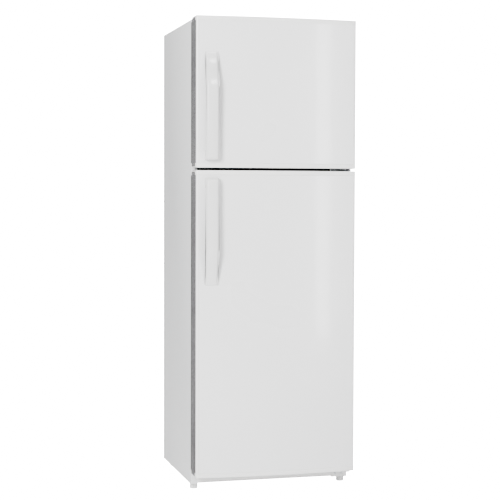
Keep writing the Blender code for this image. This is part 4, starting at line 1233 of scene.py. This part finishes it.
corners = [(side * MOUNT_REACH, depth * MOUNT_REACH, 0) for side in (-1, 1) for depth in (-1, 1)]
mounts = spread(rubber_mount(), corners)
dress(join("compressor_mounts", *mounts), "cabinet", RUBBER_AND_GAP_SHADE, "gasket_rubber")
for number, x in enumerate((-0.282, 0.282)):
    screw(f"rail_screw_{number + 1}", (x, 0.300, 0.0380), (0, 0, 1), 0.004, "cabinet", ZINC)
print("mounts", len(corners))

# %% [markdown]
# ## The liners
# Both rooms are vacuum-formed from one plastic sheet each, so their corners are soft. The
# frame's liners are refined with a generous rounding. Shelf ledges are pressed into the side
# walls: long bars whose ends fade into the wall. One ledge is made and copied to each height.

# %% Liners and their ledges
refine("freezer_liner", LINER_PLASTIC, 0.0005, 1)
refine("fridge_liner", LINER_PLASTIC, 0.0005, 1)
SHELVES = ["glass_shelf_lower", "glass_shelf_middle", "glass_shelf_upper"]
LEDGE_HEIGHT = 0.010
FRIDGE_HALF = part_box("crisper_cover")[1][0] + 0.0015
FREEZER_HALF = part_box("freezer_shelf")[1][0] + 0.0008


def ledge(name, side, wall, shelf, depth):
    """A bar on a side wall just under a shelf, thinning at its ends."""
    low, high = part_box(shelf)
    top = low[2] - 0.0004
    ends = sorted((side * wall, side * (wall - depth)))
    made = add_block(name, (ends[0], low[1] + 0.012, top - LEDGE_HEIGHT),
                     (ends[1], high[1] - 0.004, top))
    pick_faces(made, lambda middle, normal: normal.x * side < -0.9)
    bpy.ops.mesh.inset(thickness=0.0022, depth=0)
    bpy.ops.transform.resize(value=(1, 0.985, 0.8))
    pick_faces(made, lambda middle, normal: abs(normal.y) > 0.9)
    bpy.ops.transform.resize(value=(0.999, 1, 0.8))
    ease(made, 0.0014, 2)
    return dress(made, "cabinet", LINER_PLASTIC, "liner_plastic")


LEDGES = {shelf: (FRIDGE_HALF, 0.010) for shelf in SHELVES + ["crisper_cover"]}
LEDGES["freezer_shelf"] = (FREEZER_HALF, 0.007)
for shelf, (wall, depth) in LEDGES.items():
    for side in (-1, 1):
        ledge(f"{shelf}_ledge_{side_word(side)}", side, wall, shelf, depth)
print("ledges", 2 * len(LEDGES))

# %% [markdown]
# ## The shelves
# Toughened glass is ground round its edge and held at the front in a white trim. The trim is
# a small channel that clips over the glass. Its section is drawn from the side and raised
# across the width. Where a drawer slides past, the trim is kept low on that side.

# %% Glass and trims
def shelf_trim(name, shelf, lip, rise):
    low, high = box_of(shelf)
    front, gap = low.y, 0.0003
    section = [(front - 0.0040, low.z - lip), (front - 0.0046, low.z), (front - 0.0046, high.z),
               (front - 0.0030, high.z + rise), (front + 0.0100, high.z + rise),
               (front + 0.0110, high.z + gap), (front - gap, high.z + gap),
               (front - gap, low.z - gap), (front + 0.0085, low.z - gap),
               (front + 0.0075, low.z - 0.0022), (front - 0.0012, low.z - 0.0022),
               (front - 0.0016, low.z - lip)]
    made = draw(name, [(low.x + 0.002, y, z) for y, z in section])
    raise_up(made, (high.x - low.x - 0.004, 0, 0))
    ease(made, 0.0005, 2)
    return dress(made, "cabinet", TRIM_PLASTIC, "white_plastic")


TRIMS = {shelf: (0.009, 0.0022) for shelf in SHELVES}
TRIMS["crisper_cover"] = (0.0042, 0.0022)      # shallow, as the drawer slides under it
TRIMS["freezer_shelf"] = (0.009, 0.0005)       # low, as the ice bin slides over it
for shelf, (lip, rise) in TRIMS.items():
    refine(shelf, SHELF_GLASS, 0.0009)
    shelf_trim(shelf + "_trim", shelf, lip, rise)
for shelf in SHELVES:
    low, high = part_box(shelf)
    rail = add_block(shelf + "_rear_rail", (low[0] + 0.003, high[1] - 0.011, high[2] + 0.0003),
                     (high[0] - 0.003, high[1] - 0.0015, high[2] + 0.0105), 0.0018, 3)
    dress(rail, "cabinet", TRIM_PLASTIC, "white_plastic")
print("shelves", len(SHELVES) + 2)

# %% [markdown]
# ## Door bins
# The bins are clear trays that lift off the door's walls. Their fronts carry raised level
# ribs, and a white rail runs along the top edge. The bin itself is the frame's, with softened
# edges; the ribs and the rail are added to it.

# %% Bins
def bin_details(node, body, ribs):
    low, high = box_of(node)
    refine(node, CLEAR_PLASTIC, 0.0008)
    inside = high.y
    made = []
    for number in range(ribs):
        height = low.z + (high.z - low.z) * (0.22 + 0.42 * number / max(ribs - 1, 1))
        rib = add_block("rib", (low.x + 0.030, inside - 0.0001, height),
                        (high.x - 0.030, inside + 0.0016, height + 0.0040), 0.0007, 2)
        made.append(rib)
    dress(join(node + "_ribs", *made), body, CLEAR_PLASTIC, "clear_plastic")
    rail = add_block(node + "_rail", (low.x + 0.002, inside - 0.0045, high.z + 0.0002),
                     (high.x - 0.002, inside + 0.0018, high.z + 0.0070), 0.0016, 3)
    dress(rail, body, TRIM_PLASTIC, "white_plastic")


BINS = {"freezer_bin_lower": ("freezer_door", 2), "freezer_bin_upper": ("freezer_door", 2),
        "bottle_rack": ("fridge_door", 4), "fridge_bin_lower": ("fridge_door", 2),
        "fridge_bin_middle": ("fridge_door", 2), "fridge_bin_upper": ("fridge_door", 2)}
for node, (body, ribs) in BINS.items():
    bin_details(node, body, ribs)
print("bins", len(BINS))

# %% [markdown]
# The egg tray sits loose in the uppermost fridge bin. It is a thin plate with two rows of
# cups. The plate is drawn by subdividing a grid, and each cup is a face that is inset and
# pushed down twice, which gives it a sloping side.

# %% Egg tray
def egg_tray():
    low, high = box_of("fridge_bin_upper")
    width, depth = 0.250, 0.084
    centre = Vector((low.x + 0.140, (low.y + high.y) / 2, low.z + 0.034))
    let_go()
    bpy.ops.mesh.primitive_grid_add(x_subdivisions=6, y_subdivisions=2, size=1, location=centre)
    made = bpy.context.object
    made.name = "egg_tray"
    made.scale = (width, depth, 1)
    settle(made)
    pick_faces(made, lambda middle, normal: True)
    bpy.ops.mesh.inset(thickness=0.0045, use_individual=True)
    bpy.ops.mesh.inset(thickness=0.0015, depth=-0.0050, use_individual=True)
    bpy.ops.mesh.inset(thickness=0.0060, depth=-0.0120, use_individual=True)
    modify(made, "SUBSURF", levels=2, render_levels=2)
    modify(made, "SOLIDIFY", thickness=0.0012, offset=0)
    ease(made, 0)
    return dress(made, "fridge_door", TRIM_PLASTIC, "white_plastic")


print("egg tray faces", len(egg_tray().data.polygons))

# %% [markdown]
# ## The crisper drawer
# The vegetable drawer is a deep clear box with a white front grip. Its front gets a moulded
# handle with a hollow behind it, and three shallow ribs. The ice bin has so little room in
# front of it that its grip stands on its rim instead.

# %% Crisper and ice bin
def drawer_grip(name, node, body, share, height):
    low, high = box_of(node)
    half = (high.x - low.x) * share / 2
    centre = (high.x + low.x) / 2
    front = low.y
    top = high.z - 0.012
    section = [(front - 0.0002, top - height), (front - 0.0110, top - height * 0.75),
               (front - 0.0150, top - height * 0.30), (front - 0.0145, top), (front - 0.0110, top),
               (front - 0.0105, top - height * 0.22), (front - 0.0075, top - height * 0.55),
               (front - 0.0032, top - height * 0.72), (front - 0.0030, top),
               (front - 0.0002, top)]
    made = draw(name, [(centre - half, y, z) for y, z in section])
    raise_up(made, (2 * half, 0, 0))
    ease(made, 0.0010, 2)
    return dress(made, body, TRIM_PLASTIC, "white_plastic")


refine("crisper_drawer", CLEAR_PLASTIC, 0.0012, 3)
drawer_grip("crisper_grip", "crisper_drawer", "crisper_drawer", 0.62, 0.034)
refine("ice_bin", CLEAR_PLASTIC, 0.0012, 3)
low, high = box_of("ice_bin")
middle_x = (low.x + high.x) / 2
lift = add_block("ice_bin_grip", (middle_x - 0.055, low.y + 0.0002, high.z - 0.004),
                 (middle_x + 0.055, low.y + 0.0080, high.z + 0.0150), 0.0020, 3)
dress(lift, "ice_bin", TRIM_PLASTIC, "white_plastic")
low, high = box_of("crisper_drawer")
ribs = [add_block("rib", (low.x + 0.030, low.y - 0.0014, low.z + rise),
                  (high.x - 0.030, low.y - 0.0001, low.z + rise + 0.004), 0.0006)
        for rise in (0.148, 0.158, 0.168)]
dress(join("crisper_front_ribs", *ribs), "crisper_drawer", CLEAR_PLASTIC, "clear_plastic")
print("drawers", 2)

# %% [markdown]
# ## The twist ice trays
# Each tray turns on its long axis when its knob is twisted, and the cubes drop into the bin
# below. The tray's block comes from the frame. Its cells are walls set inside it: one along
# the middle and a row across. Each wall is thinner at its top, as a mould needs to let go.

# %% Ice trays
def cell_wall(low, high, thin):
    """A wall that is narrowed at its top, along x or y, to this share of its thickness."""
    made = add_block("wall", low, high)
    pick_faces(made, lambda middle, normal: normal.z > 0.9)
    bpy.ops.transform.resize(value=thin)
    bpy.ops.object.mode_set(mode="OBJECT")
    return made


def ice_cells(node, cells=6):
    low, high = box_of(node)
    floor, rim = high.z - 0.0315, high.z - 0.0030
    centre = (low.x + high.x) / 2
    half = (high.x - low.x) / 2 - 0.0022
    rear = high.y - 0.0125
    front = ICE_FRAME_FRONT + 0.0125
    walls = [cell_wall((centre - 0.0016, front, floor), (centre + 0.0016, rear, rim),
                       (0.5, 1, 1))]
    for number in range(1, cells):
        y = front + (rear - front) * number / cells
        for side in (-1, 1):
            ends = sorted((centre + side * 0.0010, centre + side * half))
            walls.append(cell_wall((ends[0], y - 0.0016, floor), (ends[1], y + 0.0016, rim),
                                   (1, 0.5, 1)))
    refine(node, CLEAR_PLASTIC, 0.0010)
    made = join(node + "_cells", *walls)
    ease(made, 0.0004, 1)
    return dress(made, BODY_OF[node], CLEAR_PLASTIC, "clear_plastic")


ICE_FRAME_FRONT = box_of("ice_tray_frame")[0].y
refine("ice_tray_frame", TRIM_PLASTIC, 0.0010)
for node in ("ice_tray_left", "ice_tray_right"):
    low, high = box_of(node)
    print(ice_cells(node).name, "between", low.y, "and", high.y)
    ridges = [add_block("ridge", ((low.x + high.x) / 2 + x - 0.0008, low.y - 0.0006, 1.5695),
                        ((low.x + high.x) / 2 + x + 0.0008, low.y + 0.0004, 1.5805), 0.0003, 1)
              for x in (-0.012, -0.006, 0.0, 0.006, 0.012)]
    dress(join(node + "_knob_ridges", *ridges), BODY_OF[node], TRIM_PLASTIC, "white_plastic")

# %% [markdown]
# ## Cold air in the freezer
# A moulded cover hides the cooling coil. The fan blows through a round grille in its upper
# part, and level louvres low down let the air back in. The cover's panel comes from the
# frame. The grille is a set of rings, each a thin torus, tied by four spokes, and each louvre
# is a small hood whose section is drawn from the side.

# %% Evaporator cover and grille
refine("evaporator_cover", LINER_PLASTIC, 0.0006)
COVER_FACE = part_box("evaporator_cover")[0][1]
FAN_LOW, FAN_HIGH = box_of("fan_blade")
FAN = (FAN_LOW + FAN_HIGH) / 2


def ring(name, centre, radius, thickness, turn=(math.pi / 2, 0, 0)):
    let_go()
    bpy.ops.mesh.primitive_torus_add(major_segments=48, minor_segments=8, major_radius=radius,
                                     minor_radius=thickness, location=centre, rotation=turn)
    made = bpy.context.object
    made.name = name
    settle(made)
    ease(made, 0)
    return made


def fan_grille():
    face = COVER_FACE - 0.0022
    parts = [ring("ring", (FAN.x, face, FAN.z), radius, 0.0015)
             for radius in (0.014, 0.026, 0.038, 0.050)]
    parts.append(add_rod("boss", (FAN.x, face, FAN.z), 0.009, 0.004, "Y", 24, 0.001))
    for number in range(4):
        spoke = add_block("spoke", (0.008, -0.0012, -0.0013), (0.050, 0.0012, 0.0013), 0.0005, 1)
        spoke.rotation_euler = (0, math.pi / 4 + number * math.pi / 2, 0)
        spoke.location = (FAN.x, face, FAN.z)
        settle(spoke)
        parts.append(spoke)
    return dress(join("fan_grille", *parts), "cabinet", LINER_PLASTIC, "liner_plastic")


def louvre(name, x, z, width, face):
    """A hood over an air slot, standing out from a face that looks along -Y."""
    section = [(face - 0.0002, z + 0.0050), (face - 0.0050, z + 0.0010), (face - 0.0054, z - 0.0010),
               (face - 0.0042, z - 0.0010), (face - 0.0036, z + 0.0006), (face - 0.0002, z + 0.0034)]
    made = draw(name, [(x - width / 2, y, height) for y, height in section])
    raise_up(made, (width, 0, 0))
    ease(made, 0.0004, 1)
    return made


HOOD_LOWEST, HOOD_PITCH = 1.215, 0.013
fan_grille()
hoods = [louvre("hood", x, HOOD_LOWEST + HOOD_PITCH * row, 0.082, COVER_FACE)
         for x in (-0.180, -0.060, 0.060, 0.180) for row in range(5)]
dress(join("return_louvres", *hoods), "cabinet", LINER_PLASTIC, "liner_plastic")
border = add_block("cover_panel_line", (-0.232, COVER_FACE - 0.0016, 1.300),
                   (0.232, COVER_FACE - 0.0002, 1.306), 0.0006, 2)
dress(border, "cabinet", LINER_PLASTIC, "liner_plastic")
for number, (x, z) in enumerate(((-0.232, 1.63), (0.232, 1.63), (-0.232, 1.32), (0.232, 1.32))):
    screw(f"cover_screw_{number + 1}", (x, COVER_FACE - 0.0001, z), (0, -1, 0),
          SMALL_SCREW_RADIUS, "cabinet", ZINC)
print("louvres", len(hoods))

# %% [markdown]
# Behind the cover the coil is a zigzag of aluminium pipe pressed through a stack of thin
# fins. The pipe is the frame's. The fins repeat in dozens, so each is a plain plate with few
# faces, made once and copied along the coil.

# %% Coil fins, fan and motor
FINS = 43
FIN_PITCH = 0.0085
COIL_LOW, COIL_HIGH = box_of("evaporator_coil")
refine("evaporator_coil", ALUMINIUM, 0)
fin = add_block("fin", (-0.0002, COIL_LOW.y - 0.0145, COIL_LOW.z + 0.002),
                (0.0002, COIL_HIGH.y + 0.0145, COIL_HIGH.z - 0.002))
fin_places = [(COIL_LOW.x + 0.030 + FIN_PITCH * number, 0, 0) for number in range(FINS)]
dress(join("evaporator_fins", *spread(fin, fin_places)), "cabinet", ALUMINIUM, "bare_aluminium")
refine("fan_blade", BLACK_PLASTIC, 0.0008)
refine("fan_motor", BLACK_PLASTIC, 0.0020, 3)
hub = add_rod("fan_hub_cap", (FAN.x, FAN_LOW.y - 0.0008, FAN.z), 0.0090, 0.0016, "Y", 24, 0.0006)
dress(hub, "fan_blade", BLACK_PLASTIC, "black_plastic")
print("fins", len(fin_places))

# %% [markdown]
# ## Air duct, lamp and thermostat in the fridge
# A moulded spine up the rear wall carries cold air to every shelf through small hooded slots.
# Under the ceiling, a ribbed lens covers the lamp, and a housing beside it holds the dial.

# %% Duct vents and lamp
DUCT_FACE = box_of("air_duct_cover")[0].y
refine("air_duct_cover", LINER_PLASTIC, 0.0040, 4)
vents = [louvre("vent", x, z, 0.030, DUCT_FACE)
         for z in (0.440, 0.640, 0.655, 0.830, 0.845, 1.000, 1.015) for x in (-0.022, 0.022)]
dress(join("duct_vents", *vents), "cabinet", LINER_PLASTIC, "liner_plastic")

LAMP_LOW, LAMP_HIGH = box_of("lamp_cover")
refine("lamp_cover", LAMP_PLASTIC, 0.0025, 3)
LENS_RIBS = 15
LENS_MARGIN = 0.010          # at each end of the lens
pitch = (LAMP_HIGH.x - LAMP_LOW.x - 2 * LENS_MARGIN) / LENS_RIBS
ribs = []
for number in range(LENS_RIBS):
    x = LAMP_LOW.x + LENS_MARGIN + pitch * (number + 0.5)
    rib = add_block("rib", (x - 0.0018, LAMP_LOW.y + 0.012, LAMP_LOW.z - 0.0016),
                    (x + 0.0018, LAMP_HIGH.y - 0.012, LAMP_LOW.z - 0.0001), 0.0007, 1)
    ribs.append(rib)
dress(join("lamp_lens_ribs", *ribs), "cabinet", LAMP_PLASTIC, "clear_plastic")


def round_profile(name, profile, centre, steps=32):
    """Turns (radius, height) points into a closed round shape along x, with spin."""
    made = draw(name, [(height, 0, radius) for radius, height in profile], closed=False)
    edit_all(made, "VERT")
    bpy.ops.mesh.spin(steps=steps, angle=math.tau, center=(0, 0, 0), axis=(1, 0, 0))
    bpy.ops.mesh.select_all(action="SELECT")
    bpy.ops.mesh.remove_doubles(threshold=0.00001)
    face_outwards(made)
    ease(made, 0)
    made.location = centre
    settle(made)
    return made


bulb_middle = (LAMP_LOW + LAMP_HIGH) / 2 + Vector((0.006, 0, 0.002))
glass = [(0, 0.030)] + [(0.0125 * math.sin(math.pi * turn / 12) ** 0.8,
                         0.0175 + 0.0125 * math.cos(math.pi * turn / 12)) for turn in range(1, 10)]
glass += [(0.0065, -0.002), (0, -0.002)]
bulb = round_profile("lamp_bulb", glass, bulb_middle)
dress(bulb, "cabinet", WARM_BULB, "white_plastic")
thread = [(0, -0.024), (0.0050, -0.024)]
for number in range(8):
    thread += [(0.0078, -0.021 + number * 0.0022), (0.0068, -0.0199 + number * 0.0022)]
socket = round_profile("lamp_socket", thread + [(0, -0.0035)], bulb_middle, 24)
dress(socket, "cabinet", ZINC, "zinc_steel")
print("lamp ribs", LENS_RIBS, "vents", len(vents))

# %% [markdown]
# The dial runs from 1 to 7, colder as it turns. Its figures are generic numbers. Text is a
# flat curve, so each figure is given a slight depth, made a mesh, and laid on the housing's
# front round the knob. A single raised pointer on the knob shows the setting.

# %% Thermostat and its figures
THERMO_LOW = box_of("thermostat_housing")[0]
KNOB_LOW, KNOB_HIGH = box_of("thermostat_knob")
KNOB = (KNOB_LOW + KNOB_HIGH) / 2
refine("thermostat_housing", LINER_PLASTIC, 0.0030, 3)
refine("thermostat_knob", TRIM_PLASTIC, 0.0012, 3)
pointer = add_block("knob_pointer", (KNOB.x - 0.0012, KNOB_LOW.y - 0.0010, KNOB.z + 0.002),
                    (KNOB.x + 0.0012, KNOB_LOW.y + 0.0006, KNOB_HIGH.z - 0.0020), 0.0004, 1)
dress(pointer, "thermostat_knob", PRINT_GREY, "black_plastic")


def figure(text, x, z, size, face):
    let_go()
    bpy.ops.object.text_add(location=(x, face, z), rotation=(math.pi / 2, 0, 0))
    made = bpy.context.object
    made.data.body = text
    made.data.size = size
    made.data.extrude = 0.0002
    made.data.align_x = "CENTER"
    made.data.align_y = "CENTER"
    bpy.ops.object.convert(target="MESH")
    made = bpy.context.object
    settle(made)
    edit_all(made)
    bpy.ops.mesh.remove_doubles(threshold=0.000005)
    bpy.ops.object.mode_set(mode="OBJECT")
    return made


FIRST_FIGURE = 0.018         # from the housing's left end to the first figure's middle
FIGURE_PITCH = 0.0145
FIGURE_SIZE = 0.011
figures = [figure(str(number + 1), THERMO_LOW.x + FIRST_FIGURE + FIGURE_PITCH * number,
                  KNOB.z + 0.004, FIGURE_SIZE, THERMO_LOW.y - 0.0003) for number in range(7)]
dress(join("thermostat_figures", *figures), "cabinet", PRINT_GREY, "black_plastic")
wedge = ((0.012, 0.0080), (0.112, 0.0060), (0.112, 0.0115), (0.012, 0.0090))
scale_bar = draw("thermostat_scale", [(THERMO_LOW.x + across, THERMO_LOW.y - 0.0001, KNOB.z - down)
                                      for across, down in wedge])
raise_up(scale_bar, (0, -0.0005, 0))
dress(scale_bar, "cabinet", PRINT_GREY, "black_plastic")
refine("door_switch_body", TRIM_PLASTIC, 0.0012)
refine("door_switch_plunger", TRIM_PLASTIC, 0.0010, 3)
print("figures", len(figures))

# %% [markdown]
# ## Nothing left plain
# Any frame node that still shows must have a finish of its own, so the last check lists the
# nodes that were neither replaced nor refined.

# %% Check for plain nodes
plain = [name for name, node in frame["nodes"].items() if not node.hide_render]
print("nodes still shown", plain)
